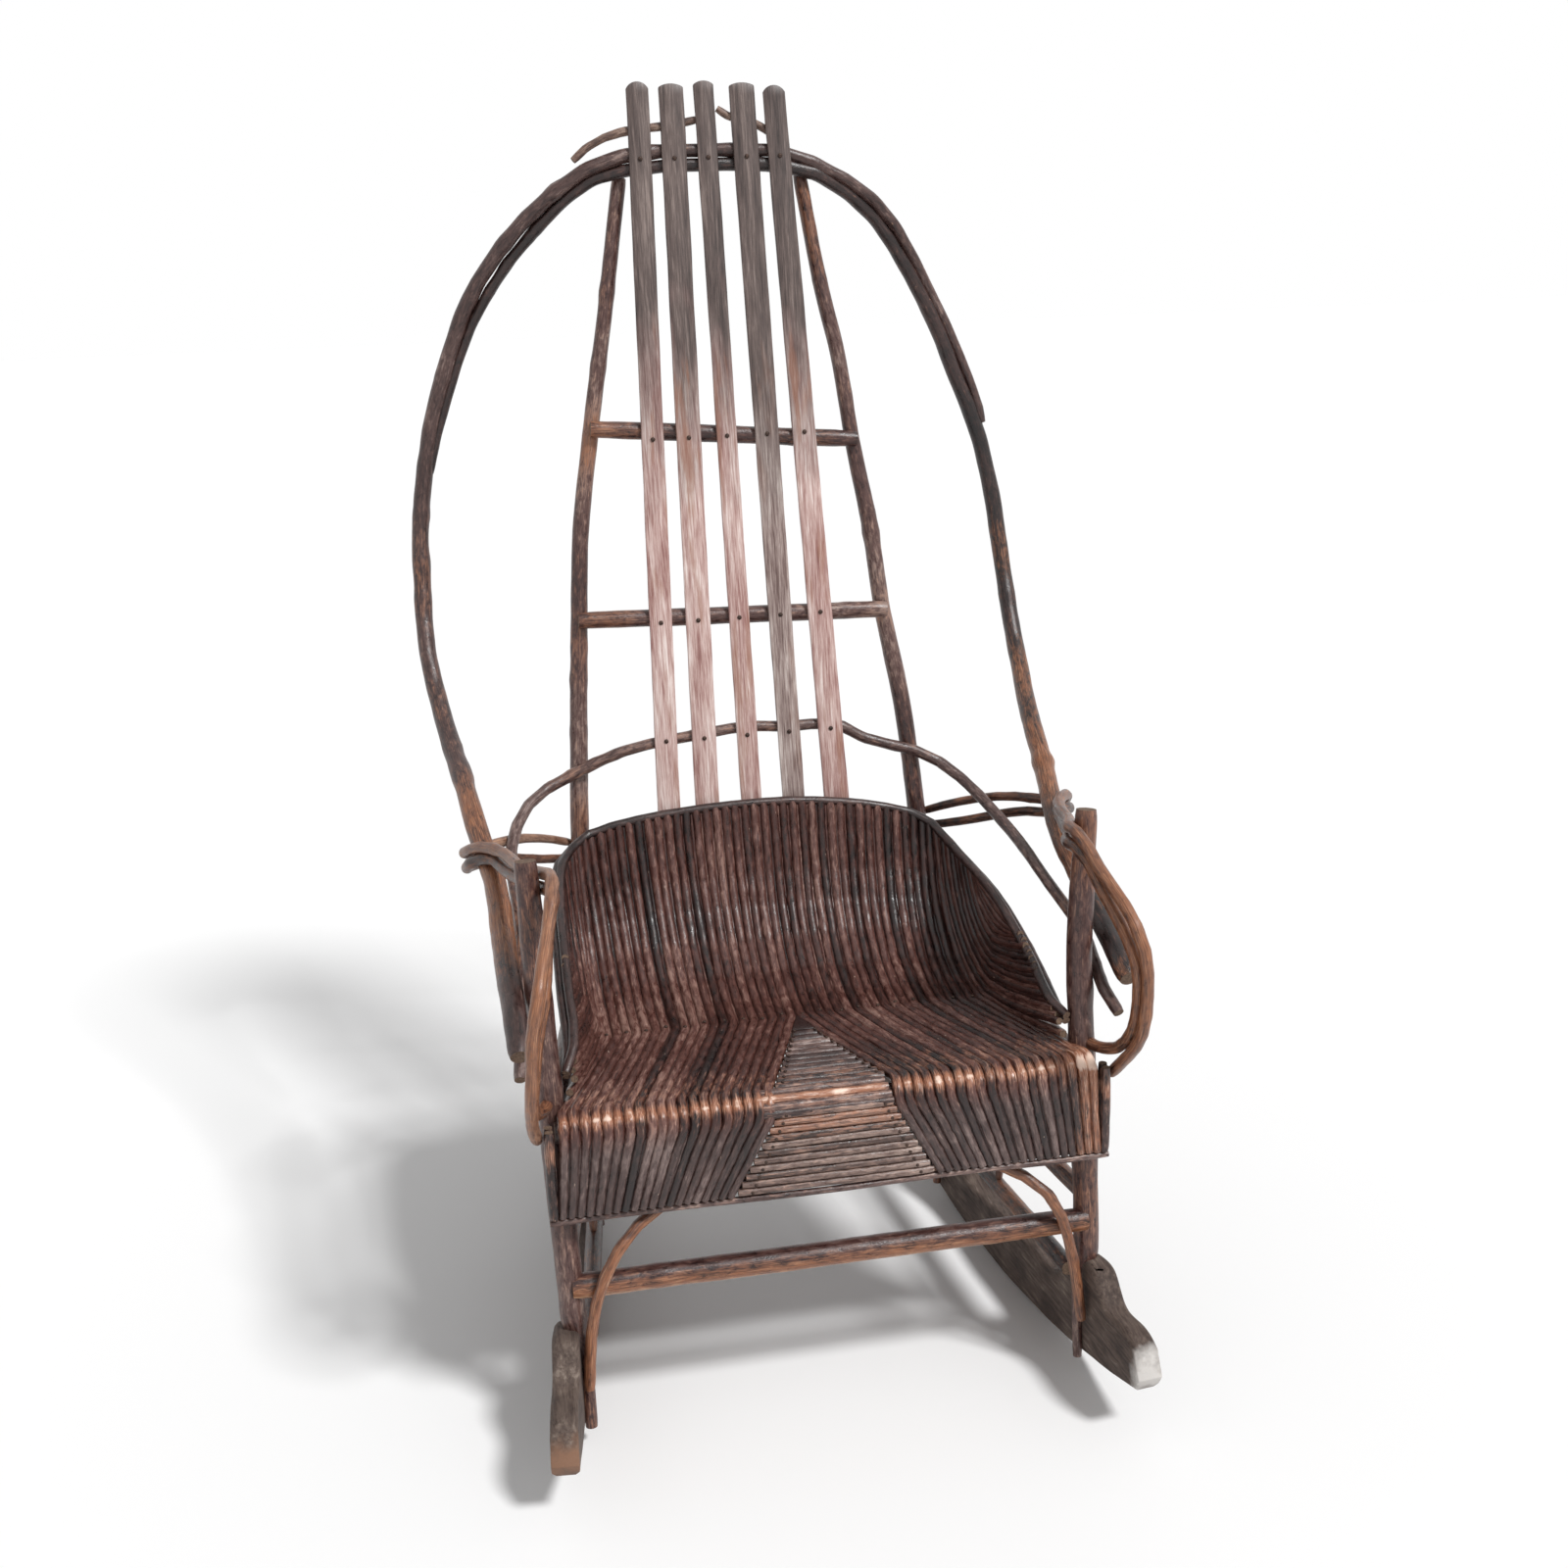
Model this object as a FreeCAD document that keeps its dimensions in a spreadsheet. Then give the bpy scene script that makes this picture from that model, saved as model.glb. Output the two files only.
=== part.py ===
import FreeCAD, Part
import math
import os

# Bent-twig hickory rocking chair.
# It is drawn with x across, y towards the back from the middle of the front posts,
# and z up from the floor. Every piece then gets one shift, which puts the origin on
# the floor under the middle of the whole chair.

document = FreeCAD.newDocument("hickory_rocker")
sheet = document.addObject("Spreadsheet::Sheet", "Sizes")

SIZES = (
    # seat and overall
    ("seat_width", 524.0),
    ("seat_depth", 375.0),
    ("seat_height", 361.0),
    ("rim_height", 517.0),
    ("arm_height", 579.0),
    ("touch_gap", 0.3),
    # rockers
    ("rocker_front", 143.0),
    ("rocker_rear", 598.0),
    ("rocker_radius", 1150.0),
    ("rocker_contact", 210.0),
    ("rocker_depth", 68.0),
    ("rocker_front_pad", 38.0),
    ("rocker_rear_pad", 30.0),
    ("rocker_thickness", 26.0),
    ("rocker_edge", 4.0),
    # posts
    ("post_diameter", 26.0),
    ("post_top", 591.0),
    ("post_foot", 21.0),
    ("post_foot_spread", 508.0),
    ("post_top_spread", 541.0),
    ("post_rake_run", 65.0),
    ("post_facet", 52.0),
    ("back_post_diameter", 21.0),
    ("back_post_top_diameter", 15.6),
    ("back_post_top", 1182.0),
    ("back_spread", 390.0),
    ("back_rise", 1000.0),
    ("back_run", 210.0),
    ("back_knee", 483.0),
    # stretchers, rails and rungs
    ("tenon_diameter", 14.0),
    ("whittle_length", 26.0),
    ("stretcher_diameter", 24.0),
    ("stretcher_height", 173.0),
    ("rear_stretcher_height", 224.0),
    ("side_rod_diameter", 18.0),
    ("side_rod_low", 118.0),
    ("side_rod_high", 196.0),
    ("rail_diameter", 22.0),
    ("apron_rail_diameter", 16.0),
    ("cross_rod_diameter", 16.0),
    ("rear_rail_height", 340.0),
    ("rung_diameter", 19.0),
    ("rung_low", 721.0),
    ("rung_high", 914.0),
    ("rung_high_tilt", 25.0),
    # seat twigs
    ("twig_diameter", 9.4),
    ("twig_tip_diameter", 8.2),
    ("twig_pitch", 10.2),
    ("apron_drop", 102.0),
    ("seat_dip", 6.0),
    ("wedge_width", 120.0),
    ("wedge_length", 172.0),
    ("wedge_flare", 100.0),
    ("wedge_twig_diameter", 11.4),
    ("apron_twig_diameter", 7.4),
    ("edging_diameter", 6.5),
    ("rim_rod_diameter", 8.4),
    # back
    ("hoop_height", 1209.0),
    ("hoop_width", 690.0),
    ("hoop_butt_diameter", 21.0),
    ("hoop_crown_diameter", 13.4),
    ("hoop_tip_diameter", 8.4),
    ("slat_bottom", 503.0),
    ("slat_top", 1279.0),
    ("slat_width", 25.0),
    ("slat_thickness", 5.0),
    ("crest_rod_diameter", 7.0),
    ("bow_diameter", 12.0),
    ("bow_height", 600.0),
    # arms, braces and nails
    ("arm_rod_diameter", 11.0),
    ("arm_tail_diameter", 8.6),
    ("arch_diameter", 11.0),
    ("side_brace_diameter", 9.0),
    ("nail_head_diameter", 6.4),
    ("nail_head_height", 1.4),
)

for row, (alias, value) in enumerate(SIZES, start=1):
    sheet.set("A%d" % row, alias)
    sheet.set("B%d" % row, str(value))
    sheet.setAlias("B%d" % row, alias)
document.recompute()
size = {alias: float(getattr(sheet, alias)) for alias, value in SIZES}

gap = size["touch_gap"]
half_seat = size["seat_width"] / 2
post_radius = size["post_diameter"] / 2
leg_radius = size["back_post_diameter"] / 2
twig_radius = size["twig_diameter"] / 2
rim_radius = size["rim_rod_diameter"] / 2
arm_radius = size["arm_rod_diameter"] / 2
tail_radius = size["arm_tail_diameter"] / 2
butt_radius = size["hoop_butt_diameter"] / 2
crown_radius = size["hoop_crown_diameter"] / 2
bow_radius = size["bow_diameter"] / 2
rail_radius = size["rail_diameter"] / 2
apron_rail_radius = size["apron_rail_diameter"] / 2
side_rod_radius = size["side_rod_diameter"] / 2
cross_radius = size["cross_rod_diameter"] / 2

LEFT = -1
RIGHT = 1
SIDES = ((LEFT, "left"), (RIGHT, "right"))
nodes = []


def vec(x, y, z):
    return FreeCAD.Vector(x, y, z)


def between(a, b, share):
    return a + (b - a) * share


def table_value(table, key):
    """Straight-line reading of a table of (key, value) rows."""
    if key <= table[0][0]:
        return table[0][1]
    for (k0, v0), (k1, v1) in zip(table, table[1:]):
        if key <= k1:
            return between(v0, v1, (key - k0) / (k1 - k0))
    return table[-1][1]


def smooth_value(table, key):
    """Reading of a table along a smooth curve through its rows."""
    count = len(table)
    for i in range(count - 1):
        if key <= table[i + 1][0] or i == count - 2:
            break
    (k0, v0), (k1, v1) = table[i], table[i + 1]
    before = table[max(i - 1, 0)]
    after = table[min(i + 2, count - 1)]
    slope0 = (v1 - before[1]) / (k1 - before[0])
    slope1 = (after[1] - v0) / (after[0] - k0)
    span = k1 - k0
    t = (key - k0) / span
    rise = v1 - v0
    bend = t * (1 - t) * ((slope0 * span - rise) * (1 - t) - (slope1 * span - rise) * t)
    return v0 + rise * t + bend


def at_depth(route, y):
    """The point where a route first crosses a depth."""
    for a, b in zip(route, route[1:]):
        if (a.y - y) * (b.y - y) <= 0 and a.y != b.y:
            return between(a, b, (y - a.y) / (b.y - a.y))
    return min(route, key=lambda point: abs(point.y - y))


def walk(route, distance):
    """The point at a distance along a route."""
    for a, b in zip(route, route[1:]):
        step = a.distanceToPoint(b)
        if distance <= step:
            return between(a, b, distance / step)
        distance = distance - step
    return route[-1]


# The axes of the posts, which the other pieces meet.

# height as a share of the post, crookedness as a share of its diameter
POST_CROOK_SHARES = {
    LEFT: ((0.0, 0.0), (0.5, 0.04), (1.0, 0.0)),
    RIGHT: ((0.0, 0.12), (0.3, 0.11), (0.56, -0.1), (0.74, -0.27), (0.87, -0.2), (1.0, 0.0)),
}
POST_CROSSING_SHARE = 0.39


def front_post_axis(side, z):
    share = (z - size["post_foot"]) / (size["post_top"] - size["post_foot"])
    x = between(size["post_foot_spread"], size["post_top_spread"], share) / 2
    x = x + smooth_value(POST_CROOK_SHARES[side], share) * size["post_diameter"]
    return vec(side * x, size["post_rake_run"] * (share - POST_CROSSING_SHARE), z)


def back_line(z):
    """Depth of the plane of the reclined back at a height."""
    return size["seat_depth"] + (z - size["back_knee"]) * size["back_run"] / size["back_rise"]


# height as a share of the back post, distance from the middle as a share of half the spread
LEFT_POST_SHARES = (
    (0.018, 1.095), (0.17, 1.056), (0.305, 1.02), (0.42, 1.005), (0.535, 0.954), (0.606, 0.918),
    (0.676, 0.882), (0.728, 0.831), (0.815, 0.728), (0.876, 0.651), (0.948, 0.569), (1.0, 0.508),
)
RIGHT_POST_SHARES = (
    (0.018, 1.095), (0.17, 1.056), (0.305, 1.02), (0.41, 0.974), (0.511, 0.928), (0.605, 0.836),
    (0.685, 0.79), (0.761, 0.718), (0.835, 0.672), (0.897, 0.595), (0.952, 0.544), (1.0, 0.518),
)
LEG_UPRIGHT_SHARE = 0.62


def back_post_axis(side, z):
    table = LEFT_POST_SHARES if side == LEFT else RIGHT_POST_SHARES
    x = smooth_value(table, z / size["back_post_top"]) * size["back_spread"] / 2
    below = max(0.0, size["back_knee"] - z)
    straighter = LEG_UPRIGHT_SHARE * below * size["back_run"] / size["back_rise"]
    return vec(side * x, back_line(z) + straighter, z)


# Layers of the back, measured from the plane of the back posts towards the sitter.
lean_stretch = math.hypot(1, size["back_run"] / size["back_rise"])
bow_layer = leg_radius + gap + bow_radius
slat_layer = bow_layer + bow_radius + gap
rim_layer = slat_layer + size["slat_thickness"] + gap + rim_radius
crown_layer = slat_layer - gap - crown_radius


def back_layer_point(x, z, layer):
    return vec(x, back_line(z) - layer * lean_stretch, z)


# Round sticks, straight or bent.

def ring(centre, across, up, radius, sides):
    corners = []
    for i in range(sides):
        turn = 2 * math.pi * (i + 0.5) / sides
        corners.append(centre + across * (radius * math.cos(turn)) + up * (radius * math.sin(turn)))
    corners.append(corners[0])
    return Part.makePolygon(corners)


def smooth_route(points, stations):
    """Evenly spaced points on a smooth curve through a few points."""
    curve = Part.BSplineCurve()
    curve.interpolate(points)
    return curve.toShape().discretize(Number=stations)


def stick(route, girths, sides, thickness_share=1.0):
    """A rod along a route; its radius follows a table of (share of the length, radius)."""
    last = len(route) - 1
    lengths = [0.0]
    for a, b in zip(route, route[1:]):
        lengths.append(lengths[-1] + a.distanceToPoint(b))
    across = None
    rings = []
    for i, point in enumerate(route):
        heading = route[min(i + 1, last)] - route[max(i - 1, 0)]
        heading.normalize()
        if across is None:
            across = heading.cross(vec(0, 0, 1) if abs(heading.z) < 0.9 else vec(1, 0, 0))
        across = across - heading * across.dot(heading)
        across.normalize()
        up = heading.cross(across) * thickness_share
        rings.append(ring(point, across, up, table_value(girths, lengths[i] / lengths[-1]), sides))
    return Part.makeLoft(rings, True, True)


def even(radius):
    return ((0.0, radius), (1.0, radius))


def largest(shape):
    return max(shape.Solids, key=lambda solid: solid.Volume)


# Rockers: planks on edge, sawn to an arc below and to a rising and falling line above.

def sole_height(y):
    reach = y - size["rocker_contact"]
    return size["rocker_radius"] - math.sqrt(size["rocker_radius"] ** 2 - reach ** 2)


# share of the way from the front tip to the rear tip, depth as a share of the full depth
ROCKER_DEPTH_SHARES = (
    (0.0, 0.20), (0.018, 0.70), (0.06, 0.93), (0.12, 1.0), (0.25, 1.05), (0.33, 1.01), (0.46, 0.97),
    (0.60, 1.0), (0.66, 0.97), (0.73, 0.84), (0.80, 0.67), (0.87, 0.52), (0.94, 0.37), (0.985, 0.25),
    (1.0, 0.10),
)
# distance from a post in its diameters, lift as a share of the pad
PAD_SHARES = ((-2.1, 0.12), (-1.15, 0.84), (0.0, 1.0), (1.0, 0.84), (1.9, 0.06))
FRONT_PAD_LEVEL_SHARE = 0.19
REAR_PAD_LEVEL_SHARE = 0.20


def rocker_pads():
    front_y = front_post_axis(RIGHT, size["post_top"] * FRONT_PAD_LEVEL_SHARE).y
    rear_y = back_post_axis(RIGHT, size["post_top"] * REAR_PAD_LEVEL_SHARE).y
    return ((front_y, size["post_diameter"], size["rocker_front_pad"]),
            (rear_y, size["back_post_diameter"], size["rocker_rear_pad"]))


def rocker_top():
    """Points of the top edge, with a raised pad under each post."""
    span = size["rocker_front"] + size["rocker_rear"]
    pads = rocker_pads()
    rows = []
    for share, depth_share in ROCKER_DEPTH_SHARES:
        y = share * span - size["rocker_front"]
        clear_of_pads = all(abs(y - pad_y) > 2.4 * wide for pad_y, wide, lift in pads)
        if clear_of_pads:
            rows.append((y, sole_height(y) + depth_share * size["rocker_depth"]))
    for pad_y, wide, lift in pads:
        for offset_share, lift_share in PAD_SHARES:
            y = pad_y + offset_share * wide
            depth_share = table_value(ROCKER_DEPTH_SHARES, (y + size["rocker_front"]) / span)
            rows.append((y, sole_height(y) + depth_share * size["rocker_depth"] + lift_share * lift))
    return [vec(y, z, 0) for y, z in sorted(rows)]


def principal_plane(body, role):
    return next(plane for plane in body.Origin.OriginFeatures if plane.Role == role)


def sketch_on(body, name, role, lines):
    sketch = body.newObject("Sketcher::SketchObject", name)
    sketch.AttachmentSupport = (principal_plane(body, role), [""])
    sketch.MapMode = "FlatFace"
    for line in lines:
        sketch.addGeometry(line)
    return sketch


def rocker_outline():
    top = rocker_top()
    toe_share = 0.012
    span = size["rocker_front"] + size["rocker_rear"]
    toe_y = toe_share * span - size["rocker_front"]
    heel_y = size["rocker_rear"] - toe_share * span
    middle_y = (toe_y + heel_y) / 2
    toe = vec(toe_y, sole_height(toe_y), 0)
    heel = vec(heel_y, sole_height(heel_y), 0)
    crown = Part.BSplineCurve()
    crown.interpolate(top[1:-1])
    sole = Part.Arc(toe, vec(middle_y, sole_height(middle_y), 0), heel)
    return (crown, sole, Part.LineSegment(toe, top[0]), Part.LineSegment(top[0], top[1]),
            Part.LineSegment(top[-2], top[-1]), Part.LineSegment(top[-1], heel))


ROCKER_SET_SHARE = 0.4


def rocker_middle(y):
    """Distance of a rocker's middle from the chair's middle: just outside the posts' axes."""
    front = front_post_axis(RIGHT, size["post_foot"])
    rear = back_post_axis(RIGHT, size["post_foot"])
    share = (y - front.y) / (rear.y - front.y)
    return between(front.x, rear.x, share) + ROCKER_SET_SHARE * size["rocker_thickness"]


def rocker_body(side, name):
    body = document.addObject("PartDesign::Body", "rocker_" + name)
    sketch = sketch_on(body, "rocker_outline_" + name, "YZ_Plane", rocker_outline())
    plank = body.newObject("PartDesign::Pad", "rocker_plank_" + name)
    plank.Profile = sketch
    plank.SideType = "Symmetric"
    plank.setExpression("Length", "Sizes.rocker_thickness")
    document.recompute()
    long_edges = []
    for i, edge in enumerate(plank.Shape.Edges, start=1):
        if edge.Length > 2 * size["rocker_thickness"]:
            long_edges.append("Edge%d" % i)
    worn = body.newObject("PartDesign::Chamfer", "rocker_worn_edges_" + name)
    worn.Base = (plank, long_edges)
    worn.setExpression("Size", "Sizes.rocker_edge")
    splay = math.atan2(rocker_middle(0) - rocker_middle(size["seat_depth"]), size["seat_depth"])
    turn = FreeCAD.Rotation(vec(0, 0, 1), side * math.degrees(splay))
    body.Placement = FreeCAD.Placement(vec(side * rocker_middle(0), 0, 0), turn)
    body.Label = "rocker_" + name
    return body


rockers = {side: rocker_body(side, name) for side, name in SIDES}
document.recompute()
rocker_shape = {side: rockers[side].Shape.copy() for side, name in SIDES}

# Hoop: two saplings laid butt to tip, each from an arm, over the back and down the other side.

# height as a share of the hoop, depth as a share of the back's plane at that height
HOOP_DEPTH_SHARES = (
    (0.358, -0.063), (0.385, 0.132), (0.403, 0.359), (0.425, 0.535), (0.442, 0.679), (0.466, 0.814),
    (0.500, 0.999), (0.541, 1.139), (0.581, 1.195), (0.623, 1.216), (0.658, 1.219), (0.711, 1.211),
    (0.758, 1.193), (0.801, 1.170), (0.856, 1.135), (0.900, 1.100), (0.935, 1.063), (0.963, 1.027),
    (0.985, 1.003), (1.0, 1.0),
)
# from the butt to the tip: share of half the hoop's width, share of its height
OUTER_SAPLING_SHARES = (
    (-0.842, 0.358), (-0.844, 0.385), (-0.848, 0.403), (-0.857, 0.425), (-0.884, 0.442),
    (-0.908, 0.466), (-0.950, 0.500), (-0.985, 0.541), (-1.0, 0.581), (-0.997, 0.623),
    (-0.994, 0.658), (-0.971, 0.711), (-0.936, 0.758), (-0.888, 0.801), (-0.815, 0.856),
    (-0.728, 0.900), (-0.626, 0.935), (-0.519, 0.963), (-0.397, 0.986), (-0.267, 0.9975),
    (-0.087, 1.0), (0.046, 1.0), (0.157, 1.0), (0.261, 0.997), (0.351, 0.988), (0.455, 0.973),
    (0.539, 0.956), (0.625, 0.929), (0.718, 0.886), (0.772, 0.858), (0.826, 0.825), (0.890, 0.781),
    (0.924, 0.746),
)
INNER_SAPLING_SHARES = (
    (0.846, 0.363), (0.846, 0.378), (0.848, 0.391), (0.856, 0.4045), (0.856, 0.419), (0.864, 0.429),
    (0.893, 0.450), (0.913, 0.472), (0.930, 0.494), (0.948, 0.516), (0.957, 0.543), (0.959, 0.572),
    (0.957, 0.623), (0.948, 0.654), (0.930, 0.690), (0.904, 0.728), (0.855, 0.768), (0.829, 0.784),
    (0.757, 0.835), (0.696, 0.869), (0.588, 0.918), (0.484, 0.951), (0.417, 0.965), (0.328, 0.979),
    (0.168, 0.9875), (0.043, 0.9885), (-0.09, 0.9885), (-0.275, 0.984), (-0.374, 0.974),
    (-0.472, 0.953), (-0.559, 0.929), (-0.652, 0.8995), (-0.720, 0.872), (-0.765, 0.850),
    (-0.832, 0.806), (-0.887, 0.763), (-0.925, 0.725),
)
# share of the length from the butt, share of the butt's girth
HOOP_GIRTH_SHARES = ((0.0, 0.94), (0.05, 1.04), (0.2, 0.97), (0.3, 0.87), (0.43, 0.83), (0.53, 0.77))


def hoop_route(shares):
    points = []
    for x_share, z_share in shares:
        z = z_share * size["hoop_height"]
        y = smooth_value(HOOP_DEPTH_SHARES, z_share) * back_line(z) - crown_layer * lean_stretch
        points.append(vec(x_share * size["hoop_width"] / 2, y, z))
    return smooth_route(points, 44)


hoop_girths = [(share, girth * butt_radius) for share, girth in HOOP_GIRTH_SHARES]
hoop_girths = hoop_girths + [(0.7, crown_radius), (0.84, crown_radius * 0.9),
                             (1.0, size["hoop_tip_diameter"] / 2)]
pole_route = {LEFT: hoop_route(OUTER_SAPLING_SHARES), RIGHT: hoop_route(INNER_SAPLING_SHARES)}
pole_shape = {side: stick(pole_route[side], hoop_girths, 9) for side, name in SIDES}

# The shift to the middle of the whole chair.
reach = FreeCAD.BoundBox()
for side, name in SIDES:
    reach.add(rocker_shape[side].optimalBoundingBox(True))
    reach.add(pole_shape[side].BoundBox)
to_middle = FreeCAD.Placement(vec(-reach.Center.x, -reach.Center.y, 0), FreeCAD.Rotation())
for side, name in SIDES:
    rockers[side].Placement = to_middle * rockers[side].Placement
    nodes.append(rockers[side])


def place(label, shape):
    """A piece whose solid was worked out from the sheet."""
    piece = document.addObject("Part::Feature", label)
    piece.Label = label
    piece.Shape = shape
    piece.Placement = to_middle
    nodes.append(piece)
    return piece


def drawn(piece):
    """A placed piece's solid, back where it was drawn."""
    shape = piece.Shape.copy()
    shape.Placement = to_middle.inverse() * shape.Placement
    return shape


place("hoop_sapling_outer", pole_shape[LEFT])
place("hoop_sapling_inner", pole_shape[RIGHT])

# Straight rods: each is a cylinder whittled to a tenon at both ends.


def whittled_rod(label, start, end, diameter, tenon="tenon_diameter", is_node=True):
    length = start.distanceToPoint(end)
    near = document.addObject("Part::Cone", label + "_near_end")
    near.setExpression("Radius1", "Sizes.%s / 2" % tenon)
    near.setExpression("Radius2", "Sizes.%s / 2" % diameter)
    near.setExpression("Height", "Sizes.whittle_length")
    shaft = document.addObject("Part::Cylinder", label + "_shaft")
    shaft.setExpression("Radius", "Sizes.%s / 2" % diameter)
    shaft.Height = length - 2 * size["whittle_length"]
    shaft.Placement = FreeCAD.Placement(vec(0, 0, size["whittle_length"]), FreeCAD.Rotation())
    far = document.addObject("Part::Cone", label + "_far_end")
    far.setExpression("Radius1", "Sizes.%s / 2" % diameter)
    far.setExpression("Radius2", "Sizes.%s / 2" % tenon)
    far.setExpression("Height", "Sizes.whittle_length")
    far.Placement = FreeCAD.Placement(vec(0, 0, length - size["whittle_length"]), FreeCAD.Rotation())
    rod = document.addObject("Part::MultiFuse", label)
    rod.Label = label
    rod.Shapes = [near, shaft, far]
    rod.Placement = to_middle * FreeCAD.Placement(start, FreeCAD.Rotation(vec(0, 0, 1), end - start))
    if is_node:
        nodes.append(rod)
    return rod


def coped(label, rod, neighbours):
    """A rod whose ends are shaped to the round of what they butt against."""
    seats = document.addObject("Part::Compound", label + "_seats")
    seats.Links = neighbours
    piece = document.addObject("Part::Cut", label)
    piece.Label = label
    piece.Base = rod
    piece.Tool = seats
    nodes.append(piece)
    return piece


# The front stretcher's tenons enter the posts a little in front of their middles.
stretcher_forward = vec(0, post_radius - size["tenon_diameter"] / 2, 0)
front_stretcher = whittled_rod(
    "front_stretcher", front_post_axis(LEFT, size["stretcher_height"]) - stretcher_forward,
    front_post_axis(RIGHT, size["stretcher_height"]) - stretcher_forward, "stretcher_diameter")
rear_stretcher = whittled_rod(
    "rear_stretcher", back_post_axis(LEFT, size["rear_stretcher_height"]),
    back_post_axis(RIGHT, size["rear_stretcher_height"]), "stretcher_diameter")
rear_seat_rail = whittled_rod(
    "rear_seat_rail", back_post_axis(LEFT, size["rear_rail_height"]),
    back_post_axis(RIGHT, size["rear_rail_height"]), "rail_diameter")
shared_back_rods = [rear_stretcher, rear_seat_rail]

rung_layer = (slat_layer - gap - size["rung_diameter"] / 2) * lean_stretch
for height, tilt, word in ((size["rung_low"], size["rung_high_tilt"] * 0.4, "lower"),
                           (size["rung_high"], size["rung_high_tilt"], "upper")):
    rung_ends = []
    for side, name in SIDES:
        end = back_post_axis(side, height - side * tilt / 2) - vec(0, rung_layer, 0)
        rung_ends.append(end + vec(side * leg_radius * 0.3, 0, 0))
    shared_back_rods.append(whittled_rod("back_rung_" + word, rung_ends[0], rung_ends[1],
                                         "rung_diameter"))

side_rods = {}
low_rod_ends = {}
for side, name in SIDES:
    inset = size["rocker_thickness"] / 2 + side_rod_radius + gap
    low_ends = []
    for post in (front_post_axis(side, size["side_rod_low"]), back_post_axis(side, size["side_rod_low"])):
        low_ends.append(vec(side * (rocker_middle(post.y) - inset), post.y, post.z))
    low_rod_ends[side] = low_ends
    side_rods[side] = (
        whittled_rod("side_stretcher_lower_" + name, low_ends[0], low_ends[1], "side_rod_diameter"),
        whittled_rod("side_stretcher_upper_" + name, front_post_axis(side, size["side_rod_high"]),
                     back_post_axis(side, size["side_rod_high"]), "side_rod_diameter"))

# Rails of the seat: the front rail and the apron rail are nailed across the front posts.

turn_radius = (rail_radius + gap + twig_radius) / math.cos(math.pi / 8)
front_rail_z = size["seat_height"] - twig_radius - turn_radius


def in_front_of_posts(z, radius):
    """Depth of a rod of that radius which lies across the front of the posts."""
    return front_post_axis(RIGHT, z).y - post_radius - gap - radius


front_rail_y = in_front_of_posts(front_rail_z, rail_radius)
apron_foot = size["seat_height"] - size["apron_drop"]
apron_rail_z = apron_foot + apron_rail_radius
apron_rail_y = in_front_of_posts(apron_rail_z, apron_rail_radius)
apron_twig_y = apron_rail_y - apron_rail_radius - gap - twig_radius
trim_x = half_seat + twig_radius * 1.7
front_rail_reach = trim_x - twig_radius - gap
whittled_rod("front_seat_rail", vec(-front_rail_reach, front_rail_y, front_rail_z),
             vec(front_rail_reach, front_rail_y, front_rail_z), "rail_diameter", "side_rod_diameter")
whittled_rod("apron_rail", vec(-front_rail_reach, apron_rail_y, apron_rail_z),
             vec(front_rail_reach, apron_rail_y, apron_rail_z), "apron_rail_diameter")

SIDE_RAIL_RISE_SHARE = 0.055
side_rail_ends = {}
side_rails = {}
for side, name in SIDES:
    rise = SIDE_RAIL_RISE_SHARE * size["seat_depth"]
    front_end = front_post_axis(side, front_rail_z - rail_radius * 0.3)
    rear_end = back_post_axis(side, front_rail_z + rise)
    side_rail_ends[side] = (front_end, rear_end)
    side_rails[side] = whittled_rod("side_seat_rail_" + name, front_end, rear_end, "rail_diameter")

# The bent-twig seat: the most skilful part of the chair. Each twig drops from the rim of the
# low back, turns forward under the sitter, fans out and turns down over the front rail.

seat_level = size["seat_height"] - twig_radius
seat_low = seat_level - size["seat_dip"]
WAIST_SHARE = 0.40
waist_y = WAIST_SHARE * size["seat_depth"]

# from the front posts to the middle of the rim: share of half the back's spread, share of the
# seat's depth, share of the rim's height
RIM_SIDE_SHARES = {
    LEFT: ((1.246, 0.107, 0.781), (1.246, 0.213, 0.820), (1.241, 0.336, 0.861), (1.231, 0.48, 0.892),
           (1.215, 0.613, 0.913), (1.192, 0.733, 0.930), (1.138, 0.827, 0.946), (1.051, 0.888, 0.957)),
    RIGHT: ((1.236, 0.107, 0.756), (1.236, 0.200, 0.778), (1.221, 0.336, 0.814), (1.185, 0.467, 0.855),
            (1.138, 0.613, 0.882), (1.097, 0.747, 0.897), (1.061, 0.832, 0.913), (1.010, 0.88, 0.930)),
}
# share of half the back's spread, share of the rim's height
RIM_BACK_SHARES = {
    LEFT: ((0.96, 0.967), (0.87, 0.975), (0.71, 0.985), (0.46, 0.994), (0.23, 0.999)),
    RIGHT: ((0.93, 0.946), (0.84, 0.956), (0.71, 0.970), (0.46, 0.987), (0.23, 0.997)),
}
RIM_END_SHARE = 0.742


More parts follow.
